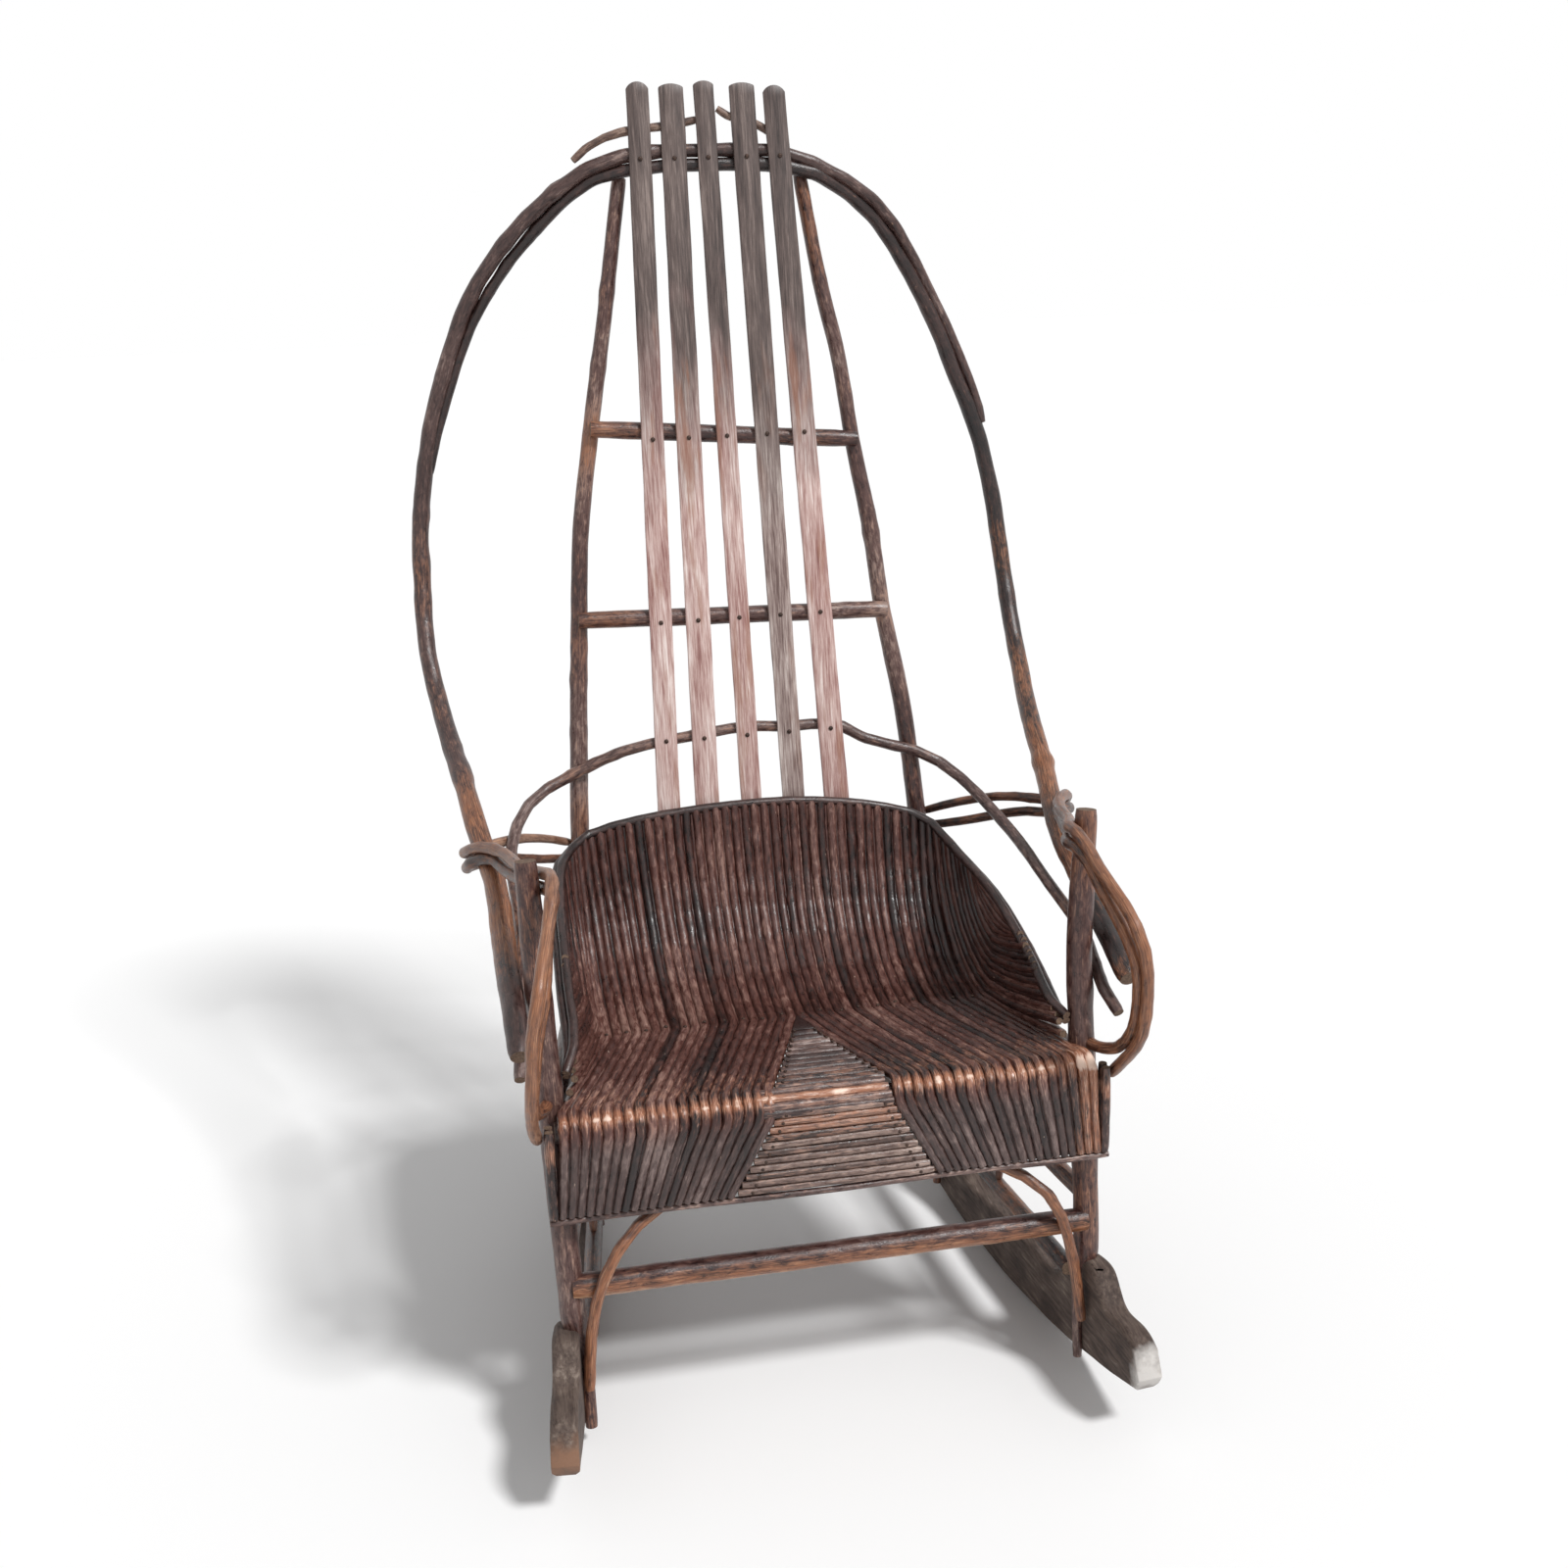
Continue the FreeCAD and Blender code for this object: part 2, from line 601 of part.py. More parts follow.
def half_rim(side, inset, drop):
    """Points along half of the rim from the front, moved in towards the seat and down."""
    points = []
    front = front_post_axis(side, size["rim_height"] * RIM_END_SHARE)
    points.append(front - vec(side * (post_radius + gap + rim_radius), post_radius / 2, 0))
    for x_share, y_share, z_share in RIM_SIDE_SHARES[side]:
        points.append(vec(side * x_share * size["back_spread"] / 2, y_share * size["seat_depth"],
                          z_share * size["rim_height"]))
    for x_share, z_share in RIM_BACK_SHARES[side]:
        points.append(back_layer_point(side * x_share * size["back_spread"] / 2,
                                       z_share * size["rim_height"], rim_layer))
    points.append(back_layer_point(0, size["rim_height"], rim_layer))
    moved = []
    last = len(points) - 1
    for i, point in enumerate(points):
        along = points[min(i + 1, last)] - points[max(i - 1, 0)]
        if i == last:
            along = vec(-side, 0, 0)
        inward = vec(-side * abs(along.y), -abs(along.x), 0)
        inward.normalize()
        down = along.cross(inward) * side
        down.normalize()
        if i == 0:
            inward = vec(0, 0, 0)
        moved.append(point + inward * inset + down * drop)
    return moved


def whole_rim(inset, drop):
    return half_rim(LEFT, inset, drop) + half_rim(RIGHT, inset, drop)[-2::-1]


rim_step = (2 * rim_radius + 3 * gap) / math.sqrt(2)
post_clear = {}
front_post_route = {}
# share of the post's length, share of its girth
POST_GIRTH_SHARES = (
    (0.0, 0.94), (0.15, 1.0), (0.3, 1.0), (0.45, 1.02), (0.56, 1.0), (0.65, 1.0), (0.74, 0.99),
    (0.85, 0.98), (0.94, 0.96), (0.98, 0.84), (1.0, 0.55),
)
for side, name in SIDES:
    front_post_route[side] = [front_post_axis(side, between(size["post_foot"], size["post_top"], share))
                              for share, girth in POST_GIRTH_SHARES]
    clear_girths = [(share, girth * post_radius + gap) for share, girth in POST_GIRTH_SHARES]
    post_clear[side] = stick(front_post_route[side], clear_girths, 14)

for word, inset in (("outer", 0.0), ("inner", rim_step)):
    rim_rod = stick(smooth_route(whole_rim(inset, inset), 40), even(rim_radius), 7)
    for side, name in SIDES:
        rim_rod = rim_rod.cut(post_clear[side])
    place("rim_rod_" + word, largest(rim_rod))

twig_drop = rim_step + rim_radius + gap
twig_tops = {side: half_rim(side, rim_step, twig_drop)[::-1] for side, name in SIDES}
rim_pitch = size["twig_pitch"] * 1.06
twigs_per_side = round((half_seat - size["wedge_width"] / 2) / size["twig_pitch"])
waist_pitch = size["twig_pitch"] * 0.99

# shares of the way from the rim to the waist: sideways, forward, up
WALL_SHARES = (
    (0.0, 0.0, 1.0), (0.13, 0.04, 0.80), (0.36, 0.12, 0.56), (0.56, 0.22, 0.37), (0.72, 0.36, 0.215),
    (0.86, 0.55, 0.085), (0.95, 0.78, 0.015), (1.0, 1.0, 0.0),
)
# shares of the way from the waist to the front rail: forward, up out of the dip
FLOOR_SHARES = ((0.3, 0.0), (0.65, 0.5), (1.0, 1.0))


def wall_route(top, waist):
    points = []
    for across_share, forward_share, up_share in WALL_SHARES:
        points.append(vec(between(top.x, waist.x, across_share), between(top.y, waist.y, forward_share),
                          between(waist.z, top.z, up_share)))
    return points


def full_twig_route(side, order):
    top = walk(twig_tops[side], order * rim_pitch)
    waist = vec(side * order * waist_pitch, waist_y, seat_low)
    fan = size["wedge_width"] / 2 * (waist_y - front_rail_y) / size["wedge_length"]
    brow = vec(side * (order * size["twig_pitch"] + fan), front_rail_y, front_rail_z + turn_radius)
    route = wall_route(top, waist)
    for forward_share, up_share in FLOOR_SHARES:
        point = between(waist, brow, forward_share)
        route.append(vec(point.x, point.y, between(seat_low, brow.z, up_share)))
    corner = turn_radius * math.cos(math.pi / 4)
    route.append(vec(brow.x, front_rail_y - corner, front_rail_z + corner))
    route.append(vec(brow.x, front_rail_y - turn_radius, front_rail_z))
    foot_pitch = (half_seat + twig_radius - size["wedge_flare"]) / twigs_per_side
    foot_x = side * (size["wedge_flare"] + order * foot_pitch)
    route.append(vec(foot_x, apron_twig_y, apron_foot))
    return route


full_girths = ((0.0, twig_radius * 1.03), (0.7, twig_radius), (0.8, twig_radius),
               (1.0, size["twig_tip_diameter"] / 2))
inner_twig = {}
for side, name in SIDES:
    twigs = []
    for i in range(twigs_per_side):
        route = full_twig_route(side, i + 0.5)
        if i == 0:
            inner_twig[side] = route
        twig = stick(route, full_girths, 6)
        if i >= twigs_per_side - 2:
            twig = largest(twig.cut(post_clear[side]))
        twigs.append(twig)
    place("seat_twigs_" + name, Part.makeCompound(twigs))

# Shorter twigs fill each side wall: they run from the rim round and up to the rim again.
WALL_TWIGS = 8
# from the lowest to the highest: outward as a share of half the seat, back as a share of the
# waist's depth, up as a share of the wall
WALL_SPREAD_SHARES = {LEFT: (0.10, 0.14, 0.48), RIGHT: (0.06, 0.12, 0.385)}
wall_girths = ((0.0, twig_radius), (1.0, twig_radius * 0.86))


def side_wall_route(side, step):
    share = step / (WALL_TWIGS - 1)
    order = twigs_per_side + step + 0.9
    top = walk(twig_tops[side], order * rim_pitch)
    across, back, rise = WALL_SPREAD_SHARES[side]
    wall_height = size["rim_height"] - size["seat_height"]
    outermost = side * twigs_per_side * waist_pitch
    waist = vec(outermost + side * (twig_radius + share * across * half_seat),
                waist_y + share * back * waist_y,
                seat_low + twig_radius * 1.4 + share * rise * wall_height)
    ends = half_rim(side, rim_step, twig_drop)
    end = between(ends[0], ends[3], share)
    end = end - vec(side * (1 - share) * post_radius * 0.6, 0, (1 - share) * twig_radius * 2)
    route = wall_route(top, waist)
    for forward_share in (0.34, 0.68, 1.0):
        point = between(waist, end, forward_share)
        route.append(vec(point.x, point.y, between(waist.z, end.z, forward_share * math.sqrt(forward_share))))
    return route


for side, name in SIDES:
    twigs = [largest(stick(side_wall_route(side, step), wall_girths, 6).cut(post_clear[side]))
             for step in range(WALL_TWIGS)]
    place("wall_twigs_" + name, Part.makeCompound(twigs))

# The open wedge between the two fans is filled with short twigs laid across.
wedge_radius = size["wedge_twig_diameter"] / 2
wedge_flat_share = twig_radius / wedge_radius
floor_route = inner_twig[RIGHT][len(WALL_SHARES) - 1:]


def wedge_reach(y):
    return at_depth(floor_route, y).x - twig_radius - gap


wedge_twigs = []
wedge_pitch = size["wedge_twig_diameter"] + gap
y = front_rail_y + wedge_radius
while wedge_reach(y + wedge_radius) > wedge_radius * 2:
    reach_x = wedge_reach(y + wedge_radius)
    level = at_depth(floor_route, y).z
    wedge_twigs.append(stick([vec(-reach_x, y, level), vec(reach_x, y, level)], even(wedge_radius),
                             6, wedge_flat_share))
    y = y + wedge_pitch
place("wedge_seat_twigs", Part.makeCompound(wedge_twigs))

apex_front = y - wedge_radius
apex_reach = wedge_reach(apex_front) - gap
apex_length = apex_reach * size["wedge_length"] * 2 / size["wedge_width"]
apex = Part.Face(Part.makePolygon([
    vec(-apex_reach, apex_front, seat_low), vec(apex_reach, apex_front, seat_low),
    vec(0, apex_front + apex_length, seat_low), vec(-apex_reach, apex_front, seat_low)]))
place("wedge_apex_block", apex.extrude(vec(0, 0, twig_radius * 0.8)))

apron_radius = size["apron_twig_diameter"] / 2
apron_pitch = size["apron_twig_diameter"] + gap
apron_twigs = []
z = apron_foot + apron_radius
while z < front_rail_z + turn_radius * 0.35:
    share = min((z - apron_foot) / (front_rail_z - apron_foot), 1.0)
    reach_x = between(floor_route[-1].x, floor_route[-2].x, share) - twig_radius * 1.25 - gap
    depth = between(apron_twig_y, front_rail_y - turn_radius, share)
    apron_twigs.append(stick([vec(-reach_x, depth, z), vec(reach_x, depth, z)], even(apron_radius), 6))
    z = z + apron_pitch
place("wedge_apron_twigs", Part.makeCompound(apron_twigs))

# A thin rod edges the foot of the apron, and twigs trim its two ends.
edging_radius = size["edging_diameter"] / 2
EDGING_SHARES = ((-1.0, 0.2), (-0.5, 0.7), (-0.1, -0.2), (0.4, 0.6), (0.8, -0.1), (1.0, 0.2))
edging_points = [vec(share * (trim_x + twig_radius), apron_twig_y + wave * edging_radius,
                     apron_foot - edging_radius * 1.4 - gap) for share, wave in EDGING_SHARES]
place("apron_edging_rod", stick(smooth_route(edging_points, 16), even(edging_radius), 7))

for side, name in SIDES:
    trims = []
    for i in range(2):
        back = i * (size["twig_diameter"] + gap)
        foot = vec(side * trim_x, apron_twig_y + back, apron_foot)
        top = vec(side * trim_x, front_rail_y - turn_radius + back, front_rail_z + turn_radius * 0.6)
        trims.append(stick([foot, top], even(twig_radius * 0.96), 6))
    place("apron_trim_" + name, Part.makeCompound(trims))

# Two rods cross under the seat: one between the side rails, one on top of them.


def seat_under(y, radius):
    """Height of a cross rod that touches the middle twigs from below."""
    above = at_depth(inner_twig[RIGHT], y)
    before = at_depth(inner_twig[RIGHT], y - radius)
    slope = (above.z - before.z) / (above.y - before.y)
    return above.z - (twig_radius + gap + radius) * math.hypot(1, slope)


def rail_point(side, y):
    front_end, rear_end = side_rail_ends[side]
    return between(front_end, rear_end, (y - front_end.y) / (rear_end.y - front_end.y))


middle_rod_z = seat_under(waist_y, cross_radius)
middle_rod_ends = [vec(rail_point(side, waist_y).x, waist_y, middle_rod_z) for side, name in SIDES]
middle_rod = whittled_rod("seat_cross_rod_middle_stick", middle_rod_ends[0], middle_rod_ends[1],
                          "cross_rod_diameter", is_node=False)
coped("seat_cross_rod_middle", middle_rod, [side_rails[LEFT], side_rails[RIGHT]])

REAR_ROD_SHARE = 0.74
rear_rod_y = REAR_ROD_SHARE * size["seat_depth"]
rear_rod_z = seat_under(rear_rod_y, cross_radius) - twig_radius * 0.3
rear_rod_reach = rail_point(RIGHT, rear_rod_y).x + rail_radius * 0.4
whittled_rod("seat_cross_rod_rear", vec(-rear_rod_reach, rear_rod_y, rear_rod_z),
             vec(rear_rod_reach, rear_rod_y, rear_rod_z), "cross_rod_diameter")

# Posts, bored for the rods that are tenoned into them and halved over the rockers.
document.recompute()
facet_tilt = math.degrees(math.atan2(post_radius, size["post_facet"]))
rake = math.degrees(math.atan2(size["post_rake_run"], size["post_top"] - size["post_foot"]))
girths = [(share, girth * post_radius) for share, girth in POST_GIRTH_SHARES]
for side, name in SIDES:
    post = stick(front_post_route[side], girths, 14)
    facet = Part.makeBox(2 * size["post_diameter"], size["post_diameter"], 2 * size["post_facet"])
    facet.translate(vec(-size["post_diameter"], -size["post_diameter"], -size["post_facet"]))
    facet.rotate(vec(0, 0, 0), vec(1, 0, 0), -rake - facet_tilt)
    facet.translate(front_post_axis(side, size["post_top"] - size["post_facet"] / 2))
    facet.translate(vec(0, -post_radius / 2, 0))
    tools = [rocker_shape[side], facet]
    tools = tools + [drawn(rod) for rod in (front_stretcher, *side_rods[side], side_rails[side])]
    place("front_post_" + name, largest(post.cut(tools)))

for side, name in SIDES:
    stations = LEFT_POST_SHARES if side == LEFT else RIGHT_POST_SHARES
    knee_share = size["back_knee"] / size["back_post_top"]
    route = [back_post_axis(side, share * size["back_post_top"]) for share, spread in stations]
    slim = size["back_post_top_diameter"] / 2
    girths = ((0.0, leg_radius), (knee_share, leg_radius), (1.0, slim))
    post = stick(route, girths, 12)
    tools = [rocker_shape[side]]
    for rod in (*shared_back_rods, *side_rods[side], side_rails[side]):
        tools.append(drawn(rod))
    place("back_post_" + name, largest(post.cut(tools)))

# Slats: five thin boards with rounded or slightly pointed tops, nailed to the front of the rungs.

# middle at the foot and at the top in shares of half the spread, top as a share of the full
# height, width at foot and top and rise of the rounded top in shares of the slat's width
SLAT_SHARES = (
    (-0.503, -0.390, 1.0, 1.0, 0.96, 0.30), (-0.282, -0.205, 0.9965, 1.08, 1.06, 0.14),
    (-0.026, -0.026, 1.0, 0.92, 0.86, 0.16), (0.22, 0.185, 0.9965, 1.0, 1.10, 0.13),
    (0.472, 0.364, 0.992, 1.12, 0.96, 0.28),
)


def slat_body(number, shares):
    foot_share, top_share, height_share, foot_width, top_width, round_share = shares
    label = "slat_%d" % number
    top_z = size["slat_bottom"] + (size["slat_top"] - size["slat_bottom"]) * height_share
    length = (top_z - size["slat_bottom"]) * lean_stretch
    foot_x = foot_share * size["back_spread"] / 2
    top_x = top_share * size["back_spread"] / 2
    rounding = round_share * size["slat_width"]
    foot_half = foot_width * size["slat_width"] / 2
    top_half = top_width * size["slat_width"] / 2
    foot_left = vec(foot_x - foot_half, 0, 0)
    foot_right = vec(foot_x + foot_half, 0, 0)
    top_left = vec(top_x - top_half, length - rounding, 0)
    top_right = vec(top_x + top_half, length - rounding, 0)
    body = document.addObject("PartDesign::Body", label)
    sketch = sketch_on(body, label + "_outline", "XY_Plane", (
        Part.LineSegment(foot_left, foot_right), Part.LineSegment(foot_right, top_right),
        Part.Arc(top_right, vec(top_x, length, 0), top_left), Part.LineSegment(top_left, foot_left)))
    board = body.newObject("PartDesign::Pad", label + "_board")
    board.Profile = sketch
    board.setExpression("Length", "Sizes.slat_thickness")
    lean = math.atan2(size["back_run"], size["back_rise"])
    foot = back_layer_point(0, size["slat_bottom"], slat_layer)
    turn = FreeCAD.Rotation(vec(1, 0, 0), math.degrees(math.pi / 2 - lean))
    body.Placement = to_middle * FreeCAD.Placement(foot, turn)
    body.Label = label
    nodes.append(body)


for number, shares in enumerate(SLAT_SHARES, start=1):
    slat_body(number, shares)

# Two thin rods make a crest behind the slats, above the hoop.

# share of half the back's spread, share of the hoop's height
CREST_SHARES = {
    "left": ((-0.764, 0.994), (-0.667, 1.006), (-0.446, 1.018), (-0.313, 1.020), (-0.174, 1.023),
             (-0.067, 1.026)),
    "right": ((0.046, 1.035), (0.133, 1.027), (0.267, 1.021), (0.333, 1.014), (0.492, 1.0025)),
}
crest_radius = size["crest_rod_diameter"] / 2
for word, shares in CREST_SHARES.items():
    points = [back_layer_point(x_share * size["back_spread"] / 2, z_share * size["hoop_height"],
                               slat_layer - gap - crest_radius) for x_share, z_share in shares]
    place("crest_rod_" + word, stick(smooth_route(points, 8), even(crest_radius), 7))

# Bow: one long rod behind the slats, in front of the back posts and on to the front posts.

# share of half the seat's width, share of the bow's height, from the middle to a back post
BOW_BACK_SHARES = {
    LEFT: ((0.149, 0.995), (0.42, 0.983), (0.63, 0.962), (0.725, 0.945), (0.82, 0.928)),
    RIGHT: ((0.149, 0.995), (0.42, 0.983), (0.489, 0.963), (0.641, 0.942), (0.771, 0.920)),
}
# share of half the seat's width, share of the seat's depth, share of the bow's height
BOW_SIDE_SHARES = {
    LEFT: ((0.945, 0.935, 0.905), (1.045, 0.80, 0.852), (1.050, 0.571, 0.807), (1.061, 0.325, 0.767),
           (1.073, 0.149, 0.735)),
    RIGHT: ((0.927, 0.90, 0.868), (0.990, 0.80, 0.836), (1.027, 0.571, 0.807), (1.061, 0.325, 0.767),
            (1.073, 0.149, 0.735)),
}
BOW_POST_SHARE = 0.708
BOW_TIP_SHARE = 0.668


def half_bow(side):
    points = []
    for x_share, z_share in BOW_BACK_SHARES[side]:
        points.append(back_layer_point(side * x_share * half_seat, z_share * size["bow_height"], bow_layer))
    for x_share, y_share, z_share in BOW_SIDE_SHARES[side]:
        points.append(vec(side * x_share * half_seat, y_share * size["seat_depth"],
                          z_share * size["bow_height"]))
    beside = front_post_axis(side, BOW_POST_SHARE * size["bow_height"])
    beside = beside + vec(side * (post_radius * 1.02 + gap + bow_radius), 0, 0)
    points.append(beside)
    points.append(beside + vec(side * bow_radius, -size["post_diameter"] * 1.6,
                               (BOW_TIP_SHARE - BOW_POST_SHARE) * size["bow_height"]))
    return points


bow_middle = back_layer_point(0, size["bow_height"], bow_layer)
bow_points = half_bow(LEFT)[::-1] + [bow_middle] + half_bow(RIGHT)
place("back_bow", stick(smooth_route(bow_points, 44), even(bow_radius), 9))

# Arms: two rods on each side, from the back post round the hoop's pole, forward past the front
# post and down in a loop to the front corner of the seat.

# share of half the seat's width, share of the seat's depth, share of the arms' height
ARM_REAR_SHARES = {
    "upper": ((0.943, 0.944, 0.865), (1.111, 0.816, 0.891), (1.235, 0.715, 0.900)),
    "lower": ((1.023, 0.880, 0.843), (1.150, 0.790, 0.865), (1.230, 0.709, 0.874)),
}
ARM_FRONT_SHARES = {
    "upper": ((1.100, 0.461, 0.955), (1.050, 0.312, 0.9655), (0.992, 0.17, 0.984)),
    "lower": ((1.105, 0.456, 0.931), (1.053, 0.307, 0.943), (0.992, 0.165, 0.960)),
}
ARM_LOOP_SHARES = {
    "upper": ((0.954, 0.0, 0.999), (0.977, -0.075, 0.967), (1.015, -0.192, 0.926),
              (1.042, -0.259, 0.886), (1.069, -0.268, 0.829), (1.078, -0.256, 0.777),
              (1.085, -0.224, 0.71), (1.085, -0.13, 0.635)),
    "lower": ((0.957, -0.011, 0.971), (0.981, -0.059, 0.941), (1.004, -0.155, 0.9016),
              (1.027, -0.221, 0.8636), (1.05, -0.233, 0.8256), (1.065, -0.221, 0.777),
              (1.076, -0.192, 0.722), (1.079, -0.13, 0.665)),
}
# for each rod: height on the back post, depth and direction at the pole, height at the front
# post and height of the end at the seat's corner
ARM_BACK_POST_SHARE = {"upper": 0.831, "lower": 0.801}
ARM_ROUND_SHARES = {
    "upper": ((0.619, 0.90, 0.44),), "lower": ((0.613, 0.96, -0.28), (0.58, 0.94, 0.34)),
}
ARM_OVER_SHARES = {"upper": (0.549, 0.25, 0.97), "lower": (0.547, 0.25, 0.97)}
ARM_FRONT_POST_SHARE = {"upper": 0.996, "lower": 0.969}
ARM_END_SHARES = {"upper": (-0.048, 0.580), "lower": (-0.08, 0.637)}
POLE_GIRTH_SHARE = 1.16


def arm_points(side, word):
    clearance = 0.0 if word == "lower" else 2 * arm_radius + gap
    pole_reach = butt_radius * POLE_GIRTH_SHARE + gap + arm_radius
    start = back_post_axis(side, ARM_BACK_POST_SHARE[word] * size["arm_height"])
    hold = (leg_radius + gap + tail_radius) / math.sqrt(2)
    points = [start + vec(side * hold, hold, 0)]
    for x_share, y_share, z_share in ARM_REAR_SHARES[word]:
        points.append(vec(side * x_share * half_seat, y_share * size["seat_depth"],
                          z_share * size["arm_height"]))
    for y_share, out_share, up_share in ARM_ROUND_SHARES[word]:
        pole = at_depth(pole_route[side], y_share * size["seat_depth"])
        points.append(pole + vec(side * out_share, 0, up_share) * pole_reach)
    y_share, out_share, up_share = ARM_OVER_SHARES[word]
    pole = at_depth(pole_route[side], y_share * size["seat_depth"])
    points.append(pole + vec(side * out_share, 0, up_share) * (pole_reach + clearance))
    for x_share, y_share, z_share in ARM_FRONT_SHARES[word]:
        points.append(vec(side * x_share * half_seat, y_share * size["seat_depth"],
                          z_share * size["arm_height"]))
    post = front_post_axis(side, ARM_FRONT_POST_SHARE[word] * size["arm_height"])
    points.append(post - vec(side * (post_radius + 2 * gap + arm_radius), 0, 0))
    for x_share, y_share, z_share in ARM_LOOP_SHARES[word]:
        points.append(vec(side * x_share * half_seat, y_share * size["seat_depth"],
                          z_share * size["arm_height"]))
    y_share, z_share = ARM_END_SHARES[word]
    points.append(vec(side * (trim_x + twig_radius + gap + arm_radius), y_share * size["seat_depth"],
                      z_share * size["arm_height"]))
    return points


arm_girths = ((0.0, tail_radius), (0.3, arm_radius * 0.98), (0.6, arm_radius), (1.0, arm_radius * 0.98))
for side, name in SIDES:
    for word in ("upper", "lower"):
        route = smooth_route(arm_points(side, word), 34)
        place("arm_rod_%s_%s" % (word, name), stick(route, arm_girths, 8))

# Braces: an arch across the front, and a bent stick on each side up to the seat rail.
arch_radius = size["arch_diameter"] / 2
arch_front = (front_post_axis(RIGHT, size["stretcher_height"]) - stretcher_forward).y
arch_front = arch_front - size["stretcher_diameter"] / 2 - gap - arch_radius
arch_back = apron_rail_y + apron_rail_radius + gap + arch_radius
# share of half the seat's width, share of the way from the front face back to the apron rail,
# share of the apron's foot height
ARCH_SHARES = (
    (0.0, 1.0, 1.035), (0.30, 1.0, 1.03), (0.535, 0.97, 0.985), (0.695, 0.62, 0.925),
    (0.80, 0.05, 0.856), (0.882, 0.0, 0.70), (0.922, 0.05, 0.54), (0.938, -0.05, 0.43),
    (0.950, -0.23, 0.28),
)
arch_half = []
for x_share, y_share, z_share in ARCH_SHARES:
    arch_half.append((x_share * half_seat, between(arch_front, arch_back, y_share), z_share * apron_foot))
arch_points = [vec(-x, y, z) for x, y, z in arch_half[:0:-1]] + [vec(x, y, z) for x, y, z in arch_half]
place("front_arch_brace", stick(smooth_route(arch_points, 26), even(arch_radius), 8))

brace_radius = size["side_brace_diameter"] / 2
BRACE_FOOT_SHARE = 0.42
BRACE_BEND_SHARE = 0.35
BRACE_HEAD_SHARE = 0.27
for side, name in SIDES:
    low_front, low_rear = low_rod_ends[side]
    foot_y = BRACE_FOOT_SHARE * size["seat_depth"]
    foot = between(low_front, low_rear, (foot_y - low_front.y) / (low_rear.y - low_front.y))
    foot = foot + vec(0, 0, side_rod_radius + gap)
    bend_y = BRACE_BEND_SHARE * size["seat_depth"]
    high_front = front_post_axis(side, size["side_rod_high"])
    high_rear = back_post_axis(side, size["side_rod_high"])
    bend = between(high_front, high_rear, (bend_y - high_front.y) / (high_rear.y - high_front.y))
    bend = bend - vec(side * (side_rod_radius + gap + brace_radius), 0, 0)
    head = rail_point(side, BRACE_HEAD_SHARE * size["seat_depth"]) - vec(0, 0, rail_radius * 1.05 + gap)
    rise = vec(0, 0, side_rod_radius)
    route = smooth_route([foot, foot + rise, bend, between(bend, head, 0.6), head], 12)
    place("side_brace_" + name, stick(route, even(brace_radius), 8))

# Nails: flat heads with eight sides where the slats cross the bow, the rungs and the hoop.
nail_axis = vec(0, -1, size["back_run"] / size["back_rise"])
nail_axis.normalize()
across = vec(1, 0, 0)
nail_up = nail_axis.cross(across)
nails = []
for foot_share, top_share, height_share, foot_width, top_width, round_share in SLAT_SHARES:
    for height in (size["bow_height"] * 0.99, size["rung_low"], size["rung_high"],
                   size["hoop_height"] * 0.994):
        share = (height - size["slat_bottom"]) / (size["slat_top"] - size["slat_bottom"])
        x = between(foot_share, top_share, share) * size["back_spread"] / 2
        centre = back_layer_point(x, height, slat_layer + size["slat_thickness"])
        head = Part.Face(ring(centre, across, nail_up, size["nail_head_diameter"] / 2, 8))
        nails.append(head.extrude(nail_axis * size["nail_head_height"]))
place("slat_nails", Part.makeCompound(nails))

# Check every object, then write each piece to its own file.
document.recompute()
for item in document.Objects:
    if "Invalid" in item.State or "Error" in item.State:
        raise RuntimeError("%s could not be built" % item.Label)
os.makedirs("parts", exist_ok=True)
for piece in nodes:
    if piece.Shape.isNull() or not piece.Shape.isValid():
        raise RuntimeError("%s has no sound solid" % piece.Label)
    piece.Shape.exportStep("parts/%s.step" % piece.Label)
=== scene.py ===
"""Looks of the bent-twig hickory rocking chair: bark, worn wood, nail heads, light and camera."""

import math
import random

import bmesh
import bpy
from mathutils import Matrix, Vector, noise


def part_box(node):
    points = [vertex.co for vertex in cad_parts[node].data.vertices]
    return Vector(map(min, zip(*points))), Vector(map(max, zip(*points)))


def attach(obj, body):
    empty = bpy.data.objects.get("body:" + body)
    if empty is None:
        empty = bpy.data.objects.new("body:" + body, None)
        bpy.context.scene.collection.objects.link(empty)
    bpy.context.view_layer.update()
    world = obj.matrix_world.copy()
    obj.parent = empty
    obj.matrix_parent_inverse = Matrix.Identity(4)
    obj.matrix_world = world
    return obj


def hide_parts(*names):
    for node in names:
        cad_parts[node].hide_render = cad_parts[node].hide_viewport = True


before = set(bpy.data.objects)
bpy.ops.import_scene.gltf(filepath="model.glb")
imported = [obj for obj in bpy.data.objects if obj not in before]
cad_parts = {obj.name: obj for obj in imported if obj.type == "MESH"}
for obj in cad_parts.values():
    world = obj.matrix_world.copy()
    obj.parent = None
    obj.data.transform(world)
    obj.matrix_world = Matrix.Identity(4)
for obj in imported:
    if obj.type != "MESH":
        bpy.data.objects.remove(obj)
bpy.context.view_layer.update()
MM = 0.001
TINY = 1e-9
SIDES = ("left", "right")

# Without a seed, noise_vector would bend the sticks differently in each run.
noise.seed_set(5)


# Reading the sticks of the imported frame

SHORTEST_STRIDE = 4 * MM
REACH = 2.2   # in radii: cuts farther than this from the middle belong to another stretch
TURNING = 1.5   # how much the newest stretch counts in the heading
INSIDE = 1.5 * MM   # the end slices are taken this far inside the ends


